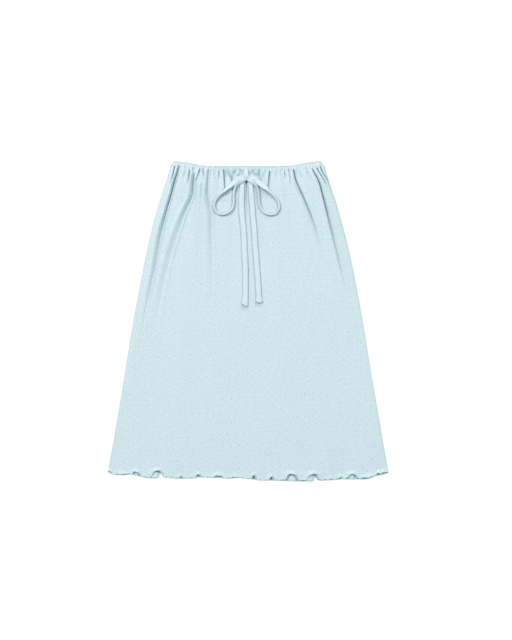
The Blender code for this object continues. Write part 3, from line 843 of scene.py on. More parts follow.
def knit_material(name, colour, hole_shadow_colour, eyelets, stitches):
    """Pale knit whose eyelets and stitches come from the pointelle group, with painted shade in the eyelets and the
    creases.
    """
    material = bpy.data.materials.new(name)
    material.use_nodes = True
    make = Nodes(material.node_tree)
    shader = material.node_tree.nodes["Principled BSDF"]
    knit = make.add("ShaderNodeGroup", node_tree=POINTELLE)
    cloth = make.add("ShaderNodeUVMap", uv_map="cloth")
    make.put(knit.inputs["Cloth"], cloth.outputs[0])
    make.put(knit.inputs["Eyelet Share"], eyelets)
    make.put(knit.inputs["Stitch Share"], stitches)
    grey = make.add("ShaderNodeCombineColor")
    for channel in range(3):
        make.put(grey.inputs[channel], knit.outputs["Shade"])
    crease = make.add("ShaderNodeAttribute", attribute_name="crease")
    # Painted shadow in the eyelets, then the knit's tone with painted highlights, then painted shade in the creases.
    paint = make.mix(knit.outputs["Eyelet"], (*colour, 1.0), (*hole_shadow_colour, 1.0), "MIX")
    paint = make.mix(1.0, paint, grey.outputs[0], "MULTIPLY")
    paint = make.mix(crease.outputs["Fac"], paint, (*PAINTED_SHADE_TINT, 1.0), "MULTIPLY")
    bump = make.add("ShaderNodeBump")
    make.put(bump.inputs["Strength"], 1.0)
    make.put(bump.inputs["Distance"], BUMP_DEPTH)
    make.put(bump.inputs["Height"], knit.outputs["Height"])
    for name, value in (("Base Color", paint), ("Normal", bump.outputs[0]),
                        ("Roughness", KNIT_ROUGH), ("Sheen Weight", SHEEN),
                        ("Sheen Roughness", SHEEN_ROUGH)):
        make.put(shader.inputs[name], value)
    return material


SKIRT_KNIT = knit_material("skirt_knit", CLOTH_COLOUR, EYELET_SHADOW_COLOUR, 1.0, 1.0)
STRING_KNIT = knit_material("string_knit", TAPE_COLOUR, TAPE_COLOUR, 0.0, 1.0)
HEM_THREAD_AND_SHADE = knit_material("hem_thread_and_painted_shade", THREAD_AND_SHADE_COLOUR, THREAD_AND_SHADE_COLOUR, 0.0, 1.0)
print("materials", SKIRT_KNIT.name, STRING_KNIT.name, HEM_THREAD_AND_SHADE.name)

# %% [markdown]
# ## Turning a grid into cloth
# Every cloth piece starts as a flat grid made by an operator. Its points are then moved into
# place, and each keeps where it was on the cut cloth as a UV map in metres, so that the knit
# follows the folds. The front's columns crowd together beside a fold, where the cloth bends most.

# %% Cloth from a grid
FRONT_COLUMNS = 360
BACK_COLUMNS = 400
FOLD_CROWD = 1.5
FOLD_CROWD_REACH = 2.4
CURL_CROWD = 1.2
CURL_CROWD_REACH = 120.0
CURL_CROWD_WIDE = 1.3
FINE_PLACES = 4001


def running_sum(steps):
    """How far it is to each point, from the steps between them."""
    return np.concatenate([[0.0], np.cumsum(steps)])


def mesh_points(mesh):
    """The places of a mesh's points, one row each."""
    flat = np.zeros(len(mesh.vertices) * 3)
    mesh.vertices.foreach_get("co", flat)
    return flat.reshape(-1, 3)


def grid_mesh(name, across_count, along_count):
    """A grid mesh, with the column and row that each of its points stands in."""
    form = bmesh.new()
    bmesh.ops.create_grid(form, x_segments=across_count, y_segments=along_count, size=1.0)
    mesh = bpy.data.meshes.new(name)
    form.to_mesh(mesh)
    form.free()
    points = mesh_points(mesh)
    columns = np.rint((points[:, 0] + 1) / 2 * across_count).astype(int)
    rows = np.rint((1 - points[:, 1]) / 2 * along_count).astype(int)
    return mesh, columns, rows


def place_points(mesh, points, cloth, crease=None):
    """Move the mesh's points, in millimetres, and write where they are on the cloth, and how much painted shade each
    gets."""
    mesh.vertices.foreach_set("co", (np.asarray(points) * MM).ravel())
    corners = np.zeros(len(mesh.loops), int)
    mesh.loops.foreach_get("vertex_index", corners)
    layer = mesh.uv_layers.get("cloth") or mesh.uv_layers.new(name="cloth")
    layer.data.foreach_set("uv", (np.asarray(cloth)[corners] * MM).ravel())
    shade = mesh.attributes.new("crease", "FLOAT", "POINT")
    shade.data.foreach_set("value", np.zeros(len(points)) if crease is None else crease)
    mesh.update()
    mesh.shade_smooth()


def new_piece(name, mesh, material, slot):
    """Link a piece that rides on the skirt and takes a slot of the record."""
    piece = bpy.data.objects.new(name, mesh)
    bpy.context.scene.collection.objects.link(piece)
    mesh.materials.append(material)
    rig.ride(piece, "root")
    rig.slot(piece, slot)
    return piece


def column_places(down):
    """Places across for the mesh's columns, closer together beside the folds and the curls."""
    fine = np.linspace(-1.0, 1.0, FINE_PLACES)
    half = float(half_width(down))
    density = np.ones_like(fine)
    for fold in FOLDS:
        away = (fine - fold_line(fold, down)) * half / FOLD_CROWD_REACH
        density += FOLD_CROWD * fold_fade(fold, down - CASING_HIGH) * np.exp(-away ** 2)
    near_hem = max(1 - (SIDE_END - down) / CURL_CROWD_REACH, 0.0)
    for row in FRONT_CURLS:
        away = (fine * half - row.across) / (CURL_CROWD_WIDE * row.half_width)
        density += CURL_CROWD * near_hem * np.exp(-away ** ARCH_STEEP)
    density += FOLD_CROWD * np.exp(-((1 - np.abs(fine)) * half / FOLD_CROWD_REACH) ** 2)
    run = running_sum((density[1:] + density[:-1]) / 2)
    return np.interp(np.linspace(0.0, run[-1], FRONT_COLUMNS + 1), run, fine)


print(FRONT_COLUMNS, "columns across the front,", BACK_COLUMNS, "across the back")

# %% [markdown]
# ## Front panel
# The front is one thin wall. Its rows are close together at the gathers and at the curled hem,
# and far apart between them, where the cloth is nearly flat. The cut is wider at the waist than
# the laid skirt, because it is gathered, so the cloth coordinates are wider there too.

# %% Front panel
LENGTH = SIDE_END - CASING_HIGH
FULLNESS_BELOW = (0, 60, 200, 420, 650)
FULLNESS = (1.42, 1.30, 1.10, 1.02, 1.0)
Rows = namedtuple("Rows", "start end step")
FRONT_ROWS = (Rows(0, 44, 1.4), Rows(44, 120, 3.0), Rows(120, 330, 8.0),
              Rows(330, LENGTH - 36, 20.0))
PAST_HEM = -0.1
FRONT_HEM_ROWS = Rows(34, PAST_HEM, -1.0)


def row_distances(spans, hem_span):
    """Distances of a panel's rows below its seam. Those at the hem are counted up from it."""
    return np.concatenate([*(np.arange(*span) for span in spans), LENGTH - np.arange(*hem_span)])


def cloth_place(across, up):
    """Where a place on the laid panel lies on the cut cloth."""
    below = seam(across) - up
    return np.stack([across * smooth(below, FULLNESS_BELOW, FULLNESS), up], axis=1)


def panel_grid(name, distances, shares_at):
    """A grid whose rows and columns are spread over a panel, with their places on it."""
    shares = np.array([shares_at(CASING_HIGH + distance) for distance in distances])
    mesh, columns, rows = grid_mesh(name, shares.shape[1] - 1, len(distances) - 1)
    run = (distances / LENGTH)[rows]
    across = shares[rows, columns] * half_width(CASING_HIGH + distances)[rows]
    top = seam(across) - GAP
    up = top + (hem(across) - top) * run
    return mesh, across, up


def front_height(across, up):
    """Height of the front's upper face above the floor, before its hem curls."""
    height = np.maximum(fold_height(across, up) + gather_height(across, up), 0.0)
    side = np.clip((half_width(TOP - up) - np.abs(across)) / SIDE_ROUND, 0, 1)
    return FRONT_TOP + height * np.sqrt(1 - (1 - side) ** 2)


def front_surface(across, up):
    """Upper face of the front panel, with its curls."""
    above = up - hem(across)
    lift, pull, shift = curl(across, above, FRONT_CURLS, HUMP_REACH, HUMP_GROWS)
    wave = ripple(across, above)
    return np.stack([across + shift + side_out(across, up), up + pull + RIPPLE_SHIFT * wave,
                     front_height(across, up) + lift + wave], axis=1)


def thicken(piece, side):
    """Give a sheet its wall, above (1) or below (-1) the face it was placed on."""
    modifier = piece.modifiers.new("wall", "SOLIDIFY")
    modifier.thickness = WALL * MM
    modifier.offset = side


front_distances = row_distances(FRONT_ROWS, FRONT_HEM_ROWS)
front_mesh, across, up = panel_grid("front", front_distances, column_places)
# The front keeps the painted shade of its creases and of its side edges.
place_points(front_mesh, front_surface(across, up), cloth_place(across, up),
             PAINTED_SHADE_SHARE * painted_crease_shade(across, up))
front = new_piece("front_of_knit", front_mesh, SKIRT_KNIT, "cloth")
thicken(front, -1)
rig.replaces(front, "front_panel")
print("front has", len(front_mesh.vertices), "points")

# %% [markdown]
# ## Back panel
# The back is the same cut and lies flat on the floor. It shows only inside the arches of the
# front's hem and from below, where the gathers press shallow creases into it. A crease may rise
# no higher than the front above it leaves room for.

# %% Back panel
BACK_ROWS = (Rows(0, 120, 6.0), Rows(120, LENGTH - 30, 16.0))
BACK_HEM_ROWS = Rows(30, PAST_HEM, -1.5)
CREASE_HEIGHT = 0.8
CREASE_PITCH = 19.0
CREASE_NARROW = 3
CREASE_DRIFT = (Wobble(2.0, 40.0, 0.0),)
CREASE_FADE = 90.0
CREASE_ROOM = 1.2


def back_surface(across, up):
    """Underside of the back panel: creases at the gathers and the curls of its own hem."""
    lift, pull, shift = curl(across, up - hem(across), BACK_CURLS, BACK_REACH, 0.0)
    room = np.clip(fold_height(across, up) - CREASE_ROOM, 0.0, None)
    below = np.maximum(seam(across) - up, 0.0)
    crease = np.sin(2 * math.pi * across / CREASE_PITCH + wobble(across, CREASE_DRIFT))
    crease = CREASE_HEIGHT * np.maximum(crease, 0.0) ** CREASE_NARROW * np.exp(-below / CREASE_FADE)
    return np.stack([across + shift + side_out(across, up), up + pull,
                     lift + np.minimum(crease, room)], axis=1)


def even_columns(down):
    """Evenly spaced places across for the back's columns."""
    return np.linspace(-1.0, 1.0, BACK_COLUMNS + 1)


back_distances = row_distances(BACK_ROWS, BACK_HEM_ROWS)
back_mesh, across, up = panel_grid("back", back_distances, even_columns)
# The back keeps the painted shade of the hem's narrowest openings.
place_points(back_mesh, back_surface(across, up), cloth_place(across, up),
             PAINTED_SHADE_SHARE * painted_pit_shade(across, up - hem(across)))
back = new_piece("back_of_knit", back_mesh, SKIRT_KNIT, "cloth")
thicken(back, 1)
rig.replaces(back, "back_panel")
print("back has", len(back_mesh.vertices), "points")

# %% [markdown]
# ## Rolling a grid into a tube
# The casing, the rolls on the edges and the string are grids too, rolled round into tubes: one
# side of the grid runs along the piece, and the other goes round it. A soft flat section is a
# circle pushed out towards a square. A tube along a line needs to know which way is ahead,
# sideways and upwards at each point of it.

# %% Rolled grids
JOIN_WITHIN = 0.01 * MM


def squared(angle, power):
    """The two coordinates of a circle at an angle, pushed out towards a square."""
    cosine, sine = np.cos(angle), np.sin(angle)
    return np.sign(cosine) * np.abs(cosine) ** power, np.sign(sine) * np.abs(sine) ** power


def unit(directions):
    """The same directions, each of them one long."""
    return directions / np.linalg.norm(directions, axis=1, keepdims=True)


def directions_along(line):
    """The ways ahead, sideways and upwards at each point of a line, and how far it is to it."""
    ahead = unit(np.gradient(line, axis=0))
    side = unit(np.cross(ahead, (0.0, 0.0, 1.0)))
    run = running_sum(np.linalg.norm(np.diff(line, axis=0), axis=1))
    return ahead, side, np.cross(side, ahead), run


def close_tube(mesh):
    """Join the two long edges of a rolled grid and close its ends."""
    form = bmesh.new()
    form.from_mesh(mesh)
    bmesh.ops.remove_doubles(form, verts=form.verts, dist=JOIN_WITHIN)
    open_edges = [edge for edge in form.edges if edge.is_boundary]
    bmesh.ops.holes_fill(form, edges=open_edges, sides=0)
    bmesh.ops.recalc_face_normals(form, faces=form.faces)
    form.to_mesh(mesh)
    form.free()
    mesh.shade_smooth()


def tube_piece(name, mesh, points, cloth, material, slot, node=None, crease=None):
    """A closed piece from a rolled grid, which may take the place of a node."""
    place_points(mesh, points, cloth, crease)
    close_tube(mesh)
    piece = new_piece(name, mesh, material, slot)
    if node is not None:
        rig.replaces(piece, node)
    return piece


print("tubes are joined within", JOIN_WITHIN / MM, "mm")

# %% [markdown]
# ## Casing
# The casing is the cloth's turned edge with the string inside, so it is a soft flat roll. Its
# upper face starts at the panel's own height, so the puckers run on into it, and it ends in a
# rounded edge that the gathers nick every few millimetres. Both ends taper into the corners of
# the waist.

# %% Casing
CASING_THICK = 3.6
CASING_BACK_THICK = 2.2
CASING_ROUND = 36
CASING_SQUARE = 0.62
CASING_LIP = 0.9
CASING_OVER = 0.15
CASING_BLEND = 0.6
CASING_PUCKER = 0.5
CASING_AROUND = 2.4
CASING_IN = 0.5
UPPER_FACE_FROM = -0.001
EDGE_ROUND = 0.32
EDGE_LINE = 0.34
EDGE_SHADE = 0.55
CORNER_LENGTH = 8.5
CORNER_TAPER = 0.85
CORNER_ROUND = 1.5
CORNER_FLAT = 0.6
NICK_PITCH = 4.8
NICK_DRIFT = (Wobble(0.9, 13.0, 0.0), Wobble(0.6, 5.9, 1.0))
NICK_SHARP = 5
NICK_DEPTH = 1.0
NICK_REACH = 3.2
NICK_SCALLOP = 0.8


def nick(across):
    """The narrow nicks of the waist edge, from 0 between them to 1 in one."""
    place = across + wobble(across, NICK_DRIFT)
    return (0.5 + 0.5 * np.cos(2 * math.pi * place / NICK_PITCH)) ** NICK_SHARP


def casing_top(across, share):
    """Height of the front casing's upper face, from the seam (0) to the waist edge (1)."""
    up = seam(across) - CASING_LIP + share * (CASING_HIGH + CASING_LIP)
    panel = front_height(across, up) + CASING_OVER
    middle = CASING_BACK_THICK + GAP + CASING_THICK
    turn = np.clip(share / CASING_BLEND, 0, 1)
    turn = turn * turn * (3 - 2 * turn)
    pucker = CASING_PUCKER * gather_height(across, seam(across))
    high = panel + (middle + pucker - panel) * turn
    return high - NICK_DEPTH * nick(across) * np.exp(-((1 - share) * CASING_HIGH / NICK_REACH) ** 2)


def casing_piece(name, base, thick, count, gathered, node):
    """Half of the casing, rolled from a grid. The gathered half's upper face has the puckers."""
    end = float(half_width(TOP - seam(WAIST_ACROSS[-1]))) - CASING_IN
    mesh, columns, rows = grid_mesh(name, count, CASING_ROUND)
    across = -end + 2 * end * columns / count
    angle = 2 * math.pi * rows / CASING_ROUND
    near_end = np.clip((np.abs(across) - end + CORNER_LENGTH) / CORNER_LENGTH, 0, 1)
    tall = CASING_HIGH * (1 - CORNER_TAPER * near_end ** CORNER_ROUND)
    tall = tall - gathered * NICK_SCALLOP * nick(across)
    flat = 1 - CORNER_FLAT * near_end ** 2
    outward, upward = squared(angle, CASING_SQUARE)
    share = (1 + outward) / 2
    lip = CASING_LIP * gathered
    up = seam(across) - lip + (tall + lip) * share
    middle = base + thick / 2
    height = middle + thick / 2 * flat * upward
    if gathered:
        rounded = np.sqrt(1 - np.clip((share - 1 + EDGE_ROUND) / EDGE_ROUND, 0, 1) ** 2)
        over = middle + (casing_top(across, share) - middle) * rounded * flat
        height = np.where(np.sin(angle) > UPPER_FACE_FROM, over, height)
    around = CASING_AROUND * CASING_HIGH * rows / CASING_ROUND
    # Painted shade along the waist edge, darker in each nick, joins the painted shade of the folds.
    edge = np.clip((share - 1 + EDGE_LINE) / EDGE_LINE, 0, 1)
    edge = edge * (EDGE_SHADE + (1 - EDGE_SHADE) * nick(across))
    crease = gathered * PAINTED_SHADE_SHARE * np.maximum(edge, painted_crease_shade(across, up))
    return tube_piece(name, mesh, np.stack([across, up, height], axis=1),
                      np.stack([across * FULLNESS[0], around], axis=1), SKIRT_KNIT, "cloth",
                      node, crease)


casing_front = casing_piece("casing_front_of_knit", CASING_BACK_THICK + GAP, CASING_THICK, 700, 1,
                            "casing_front")
casing_back = casing_piece("casing_back_of_knit", 0.0, CASING_BACK_THICK, 120, 0, "casing_back")
print("casing is", CASING_HIGH, "mm high")

# %% [markdown]
# ## Hem roll and side seams
# An overlocker wraps thread round the raw edge, which makes a fine firm roll. It follows the
# edge through every curl. The same kind of roll, a little larger, closes each side seam, where
# the front turns over to the back.

# %% Rolls along the edges
ROLL_SIDES = 8
ROLL_AROUND = 3.2
HEM_ROLL = 1.9
BACK_HEM_SHARE = 0.7
FRONT_HEM_STEP = 0.6
BACK_HEM_STEP = 1.0
SEAM_ROLL = 2.4
SEAM_IN = 1.5
SEAM_MIDDLE = 1.5
SEAM_POINTS = 200


def roll_piece(name, line, diameter, material):
    """A thin tube along a line of points, in millimetres, made from a rolled grid."""
    mesh, columns, rows = grid_mesh(name, len(line) - 1, ROLL_SIDES)
    ahead, side, rise, run = directions_along(line)
    angle = (2 * math.pi * rows / ROLL_SIDES)[:, None]
    off = np.cos(angle) * side[columns] + np.sin(angle) * rise[columns]
    around = diameter * ROLL_AROUND * rows / ROLL_SIDES
    return tube_piece(name, mesh, line[columns] + diameter / 2 * off,
                      np.stack([around, run[columns]], axis=1), material, "cloth")


def hem_line(surface, step, side):
    """Points along a panel's hem edge, at the middle of its wall."""
    end = float(half_width(SIDE_END))
    across = np.linspace(-end, end, round(2 * end / step) + 1)
    line = surface(across, hem(across))
    line[:, 2] += side * WALL / 2
    return line


def side_line(side):
    """Points down one side of the skirt, between the two panels."""
    distance = np.linspace(0.0, LENGTH, SEAM_POINTS)
    across = side * half_width(CASING_HIGH + distance)
    up = seam(across) + (hem(across) - seam(across)) * distance / LENGTH
    return np.stack([across + side_out(across, up) - side * SEAM_IN, up,
                     np.full_like(up, SEAM_MIDDLE)], axis=1)


# The hem's rolls take the darker thread colour, which is partly dense thread and partly painted shade along the edge.
front_hem = roll_piece("front_hem_roll", hem_line(front_surface, FRONT_HEM_STEP, -1),
                       HEM_ROLL, HEM_THREAD_AND_SHADE)
back_hem = roll_piece("back_hem_roll", hem_line(back_surface, BACK_HEM_STEP, 1),
                      HEM_ROLL * BACK_HEM_SHARE, HEM_THREAD_AND_SHADE)
left_seam = roll_piece("left_side_seam", side_line(-1), SEAM_ROLL, SKIRT_KNIT)
right_seam = roll_piece("right_side_seam", side_line(1), SEAM_ROLL, SKIRT_KNIT)
print("rolls", front_hem.name, back_hem.name, left_seam.name, right_seam.name)

# %% [markdown]
# ## Drawstring
# The string is a flat tape of the same knit, about 12 mm wide. It lies flat near the knot and down both tails. Round
# the two loops it stands on its edge and rolls in, so it is narrower and plumper there. Each stretch is a grid rolled
# into a tube along its route. A route's stops are listed: where they are, how wide the tape is there as a share of its
# full width, its lean in degrees and how far it stands clear of the cloth. A ray cast down finds the cloth.

# %% Drawstring routes
TAPE_THICK = 2.6
TAPE_WIDE = 11.6
ROLLED_WIDE = 0.49
ROLLED_THICK = 1.66
TAPE_ROUND = 20
TAPE_FINE = 1.6
TAPE_AROUND = 2.3
Stop = namedtuple("Stop", "across up wide lean clear", defaults=(0.0, 0.0))
LOOP_LEFT = [Stop(*row) for row in (
    (-4.2, 312.4, 0.60, 0, 0.6), (-9.8, 309.0, 0.66, 0, 0.2), (-13.9, 305.4, 0.72, -2, 0.2),
    (-22.4, 298.9, 0.78, -6, 0.2), (-32.4, 290.6, 0.84, -14, 0.2), (-40.8, 283.6, 0.94, -35, 0.1),
    (-47.9, 277.0, 0.97, -52, 0.0), (-57.8, 269.4, 0.94, -70, 0.0), (-66.0, 260.4, 0.90, -78, 0.0),
    (-71.2, 248.6, 0.88, -84, 0.0), (-68.4, 236.8, 0.88, -88, 0.0), (-62.2, 230.2, 0.88, -90, 0.0),
    (-53.9, 227.2, 0.88, -90, 0.0), (-45.6, 228.8, 0.88, -90, 0.0), (-37.8, 233.6, 0.88, -88, 0.0),
    (-31.8, 241.1, 0.88, -86, 0.0), (-29.4, 249.1, 0.88, -84, 0.0), (-29.0, 258.4, 0.88, -82, 0.0),
    (-29.2, 268.5, 0.88, -80, 0.0), (-27.9, 276.5, 0.90, -76, 0.2), (-25.2, 285.0, 0.90, -62, 0.8),
    (-21.2, 291.0, 0.92, -42, 1.8), (-14.6, 297.8, 0.94, -18, 3.1), (-11.6, 300.6, 0.98, -6, 3.3),
    (-9.0, 302.4, 1.00, 0, 3.4), (-4.4, 304.4, 0.86, 0, 3.8),
)]
LOOP_RIGHT = [Stop(*row) for row in (
    (-1.6, 312.8, 0.60, 0, 0.6), (4.0, 309.4, 0.66, 0, 0.2), (8.0, 306.6, 0.74, 2, 0.2),
    (15.6, 301.0, 0.90, 5, 0.2), (24.2, 294.3, 1.02, 8, 0.2), (32.5, 288.0, 1.02, 14, 0.2),
    (39.3, 282.4, 0.98, 28, 0.1), (45.1, 276.4, 0.96, 50, 0.0), (54.0, 268.4, 0.92, 70, 0.0),
    (61.2, 260.2, 0.88, 82, 0.0), (66.2, 250.6, 0.86, 86, 0.0), (66.8, 241.1, 0.86, 90, 0.0),
    (63.4, 233.3, 0.86, 90, 0.0), (56.7, 227.9, 0.86, 90, 0.0), (48.7, 226.7, 0.86, 88, 0.0),
    (39.8, 229.0, 0.86, 86, 0.0), (32.8, 234.9, 0.86, 84, 0.0), (26.9, 243.9, 0.86, 82, 0.0),
    (24.1, 253.9, 0.86, 80, 0.0), (23.4, 264.0, 0.86, 80, 0.0), (22.6, 274.3, 0.88, 76, 0.2),
    (20.0, 283.0, 0.88, 68, 0.6), (17.4, 287.9, 0.90, 54, 1.2), (13.4, 292.8, 0.92, 36, 2.2),
    (7.6, 298.8, 0.96, 12, 3.1), (5.4, 300.8, 1.00, 4, 3.3), (3.2, 302.4, 1.00, 0, 3.4),
    (-1.4, 304.4, 0.86, 0, 3.8),
)]
TAIL_LEFT = [Stop(*row) for row in (
    (-7.0, 305.0, 0.56), (-9.4, 299.0, 0.66), (-11.6, 288.0, 0.84), (-12.3, 274.0, 0.94),
    (-12.8, 246.7, 1.00), (-11.0, 221.8, 1.00), (-8.7, 196.9, 1.00), (-6.4, 152.1, 1.00),
    (-4.6, 115.0, 1.00), (-4.5, 77.4, 1.00), (-4.8, 50.0, 1.02), (-5.6, 41.0, 1.10),
    (-5.8, 32.6, 1.26),
)]
TAIL_RIGHT = [Stop(*row) for row in (
    (2.2, 305.0, 0.56), (4.4, 299.0, 0.66), (6.4, 288.0, 0.86), (7.6, 274.0, 0.94),
    (9.8, 246.7, 1.00), (11.6, 221.8, 1.00), (14.0, 196.9, 1.00), (16.9, 152.1, 1.00),
    (19.8, 115.0, 1.00), (22.8, 77.4, 1.00), (24.1, 55.0, 1.02), (24.2, 47.0, 1.12),
    (24.3, 39.6, 1.34),
)]
print("routes of", len(LOOP_LEFT), len(LOOP_RIGHT), len(TAIL_LEFT), len(TAIL_RIGHT), "points")

# %% Height of the cloth under the string
REACH_STEPS = (-1.0, -0.5, 0.0, 0.5, 1.0)
RAY_FROM = 0.1


def cloth_finder(pieces):
    """A function that gives the cloth's highest point within reach of a place."""
    bpy.context.view_layer.update()
    graph = bpy.context.evaluated_depsgraph_get()
    trees = [BVHTree.FromObject(piece, graph) for piece in pieces]

    def highest(across, up, reach):
        best = WALL
        for step_x in REACH_STEPS:
            for step_y in REACH_STEPS:
                place = ((across + step_x * reach) * MM, (up + step_y * reach) * MM, RAY_FROM)
                for tree in trees:
                    hit = tree.ray_cast(Vector(place), Vector((0, 0, -1)))[0]
                    if hit is not None:
                        best = max(best, hit.z / MM)
        return best

    return highest


highest = cloth_finder([front, casing_front])
print("cloth under the knot is", round(highest(0.0, 310.0, 6.0), 1), "mm high")

# %% [markdown]
# ## Painted shade beside the string
# Along each edge of the string, where it rests on the soft knit, a fine line of painted shade darkens the front.
# Inside a loop this painted shade is darker than outside. The crease value that the front already keeps serves here
# too: it grows at the points just beside the string.

# %% Painted shade beside the string
PAINTED_SHADE_SOFT = 1.5
PAINTED_SHADE_NEAR = 9.0


def paint_shade_beside(line, half_across, painted_shade_sides):
    """Paint shade on the front along a route, with a share for its left and for its right."""
    place = mesh_points(front_mesh)[:, :2] / MM
    shade = np.zeros(len(place))
    front_mesh.attributes["crease"].data.foreach_get("value", shade)
    low, high = line[:, :2].min(axis=0) - PAINTED_SHADE_NEAR, line[:, :2].max(axis=0) + PAINTED_SHADE_NEAR
    near = np.nonzero(np.all((place > low) & (place < high), axis=1))[0]
    from_line = place[near][:, None, :] - line[None, :, :2]
    distance = np.hypot(from_line[..., 0], from_line[..., 1])
    closest = distance.argmin(axis=1)
    ahead = np.gradient(line[:, :2], axis=0)[closest]
    off = from_line[np.arange(len(near)), closest]
    left = ahead[:, 0] * off[:, 1] - ahead[:, 1] * off[:, 0] > 0
    beside = np.maximum(distance.min(axis=1) - half_across[closest], 0.0)
    dark = np.where(left, *painted_shade_sides) * np.exp(-(beside / PAINTED_SHADE_SOFT) ** 2)
    shade[near] = np.maximum(shade[near], PAINTED_SHADE_SHARE * dark)
    front_mesh.attributes["crease"].data.foreach_set("value", shade)


print("the shade beside the string fades within about", 2 * PAINTED_SHADE_SOFT, "mm")

# %% Tape along a route
TAPE_SQUARE = 0.55
GROOVE = 0.10
WIDE_DRIFT = (Wobble(0.025, 5.1, 0.0), Wobble(0.02, 2.3, 1.0))
THICK_DRIFT = (Wobble(0.05, 3.7, 0.0),)
BLUNT_LENGTH = 3.0
BLUNT_LEAST = 0.12
BLUNT_THIN = 0.3
POINT_LENGTH = 14.0
POINT_BALANCE = 0.35
SETTLE = 7
Cut = namedtuple("Cut", "place short")
PaintedShadeSides = namedtuple("PaintedShadeSides", "left right")


def route_points(route, step):
    """Places, leans, widths and thicknesses along a route, with the tape resting on the cloth."""
    columns = [np.array(column, float) for column in zip(*route)]
    across, up = columns[0], columns[1]
    run = running_sum(np.hypot(np.diff(across), np.diff(up)))
    at = np.linspace(0.0, run[-1], round(run[-1] / step) + 1)
    x, y, share, lean, clear = (smooth(at, run, column) for column in columns)
    lean = np.radians(lean)
    rolled = np.sin(lean) ** 2
    wide = TAPE_WIDE * share * (1 - (1 - ROLLED_WIDE) * rolled)
    thick = TAPE_THICK * (1 + (ROLLED_THICK - 1) * rolled)
    half_high = wide / 2 * np.abs(np.sin(lean)) + thick / 2 * np.abs(np.cos(lean))
    half_across = wide / 2 * np.abs(np.cos(lean)) + thick / 2 * np.abs(np.sin(lean))
    rest = np.array([highest(*place) for place in zip(x, y, half_across)])
    padded = np.pad(rest, SETTLE // 2, mode="edge")
    rest = np.array([padded[i:i + SETTLE].max() for i in range(len(rest))])
    padded = np.pad(rest, SETTLE // 2, mode="edge")
    rest = np.convolve(padded, np.ones(SETTLE) / SETTLE, mode="valid")
    z = rest + GAP + np.maximum(clear, 0.0) + half_high
    return np.stack([x, y, z], axis=1), lean, wide, thick, half_across


def tape_piece(name, route, node, cut, painted_shade_sides):
    """A stretch of the string: a rolled grid whose section leans along its route. A free end is cut to a point, given
    as its place across the tape and how far the corners fall short. The painted shade sides say how much painted shade
    is put on the front beside the left and the right of the route."""
    line, lean, wide, thick, half_across = route_points(route, TAPE_FINE)
    paint_shade_beside(line, half_across, painted_shade_sides)
    mesh, columns, rows = grid_mesh(name, len(line) - 1, TAPE_ROUND)
    ahead, side, rise, run = directions_along(line)
    turn = lean[:, None]
    flat_way = np.cos(turn) * side + np.sin(turn) * rise
    thick_way = np.cos(turn) * rise - np.sin(turn) * side
    to_end = run[-1] - run
    near = np.clip(1 - to_end / BLUNT_LENGTH, 0, 1) * (cut is not None)
    blunt = np.sqrt(np.clip(1 - near ** 2, BLUNT_LEAST, 1))
    half_wide = wide / 2 * (1 + wobble(run, WIDE_DRIFT))
    half_thick = thick / 2 * (BLUNT_THIN + (1 - BLUNT_THIN) * blunt)
    half_thick = half_thick * (1 + wobble(run, THICK_DRIFT))
    flat, over = squared(2 * math.pi * rows / TAPE_ROUND, TAPE_SQUARE)
    over = over * (1 - GROOVE * np.cos(math.pi * flat))
    points = (line[columns] + flat_way[columns] * (flat * half_wide[columns])[:, None]
              + thick_way[columns] * (over * half_thick[columns])[:, None])
    if cut is not None:
        short = np.clip(1 - to_end / POINT_LENGTH, 0, 1)[columns] * cut.short
        reach = short * (POINT_BALANCE - np.abs(flat - cut.place))
        points = points + ahead[columns] * reach[:, None]
    around = TAPE_WIDE * TAPE_AROUND * rows / TAPE_ROUND
    piece = tube_piece(name, mesh, points, np.stack([around, run[columns]], axis=1), STRING_KNIT,
                       "tape", node)
    return piece, line * MM, float(run[-1]) * MM


left_loop, left_loop_line, left_loop_length = tape_piece(
    "left_loop_of_string", LOOP_LEFT, "loop_left", None, PaintedShadeSides(0.5, 0.1))
right_loop, right_loop_line, right_loop_length = tape_piece(
    "right_loop_of_string", LOOP_RIGHT, "loop_right", None, PaintedShadeSides(0.1, 0.5))
left_tail, left_tail_line, left_tail_length = tape_piece(
    "left_tail_of_string", TAIL_LEFT, "tail_left", Cut(-0.4, 5.0), PaintedShadeSides(0.3, 0.45))
right_tail, right_tail_line, right_tail_length = tape_piece(
    "right_tail_of_string", TAIL_RIGHT, "tail_right", Cut(-0.15, 5.5), PaintedShadeSides(0.3, 0.45))
print("loops", round(left_loop_length, 3), round(right_loop_length, 3),
      "tails", round(left_tail_length, 3), round(right_tail_length, 3), "m")

# %% [markdown]
# ## Knot
# The knot is where the tape wraps over the pinched roots of the loops. Seen from above it is a
# short upright band, so it is a band here too: a tape that rises on the waist's side, passes over
# the roots and goes down on the hem's side, with lengthwise creases where the knit is squeezed.

# %% Knot
KNOT_MIDDLE = (-2.9, 310.8)
KNOT_HALF_HIGH = 12.2
KNOT_RISE = 9.6
KNOT_WIDE = 10.2
KNOT_THICK = 3.2
KNOT_STEPS = 60
KNOT_ROUND = 40
KNOT_LENGTH = 30.0
KNOT_UNDER = 0.12
KNOT_ARCH = 0.7
KNOT_SQUARE = 0.7
KNOT_GROOVES = 3
KNOT_GROOVE = 0.16
KNOT_GROOVE_SHIFT = 0.5
KNOT_ALONG = (0.0, 0.15, 0.4, 0.7, 0.9, 1.0)
KNOT_SHARES = (0.52, 0.66, 0.98, 1.0, 0.86, 0.70)


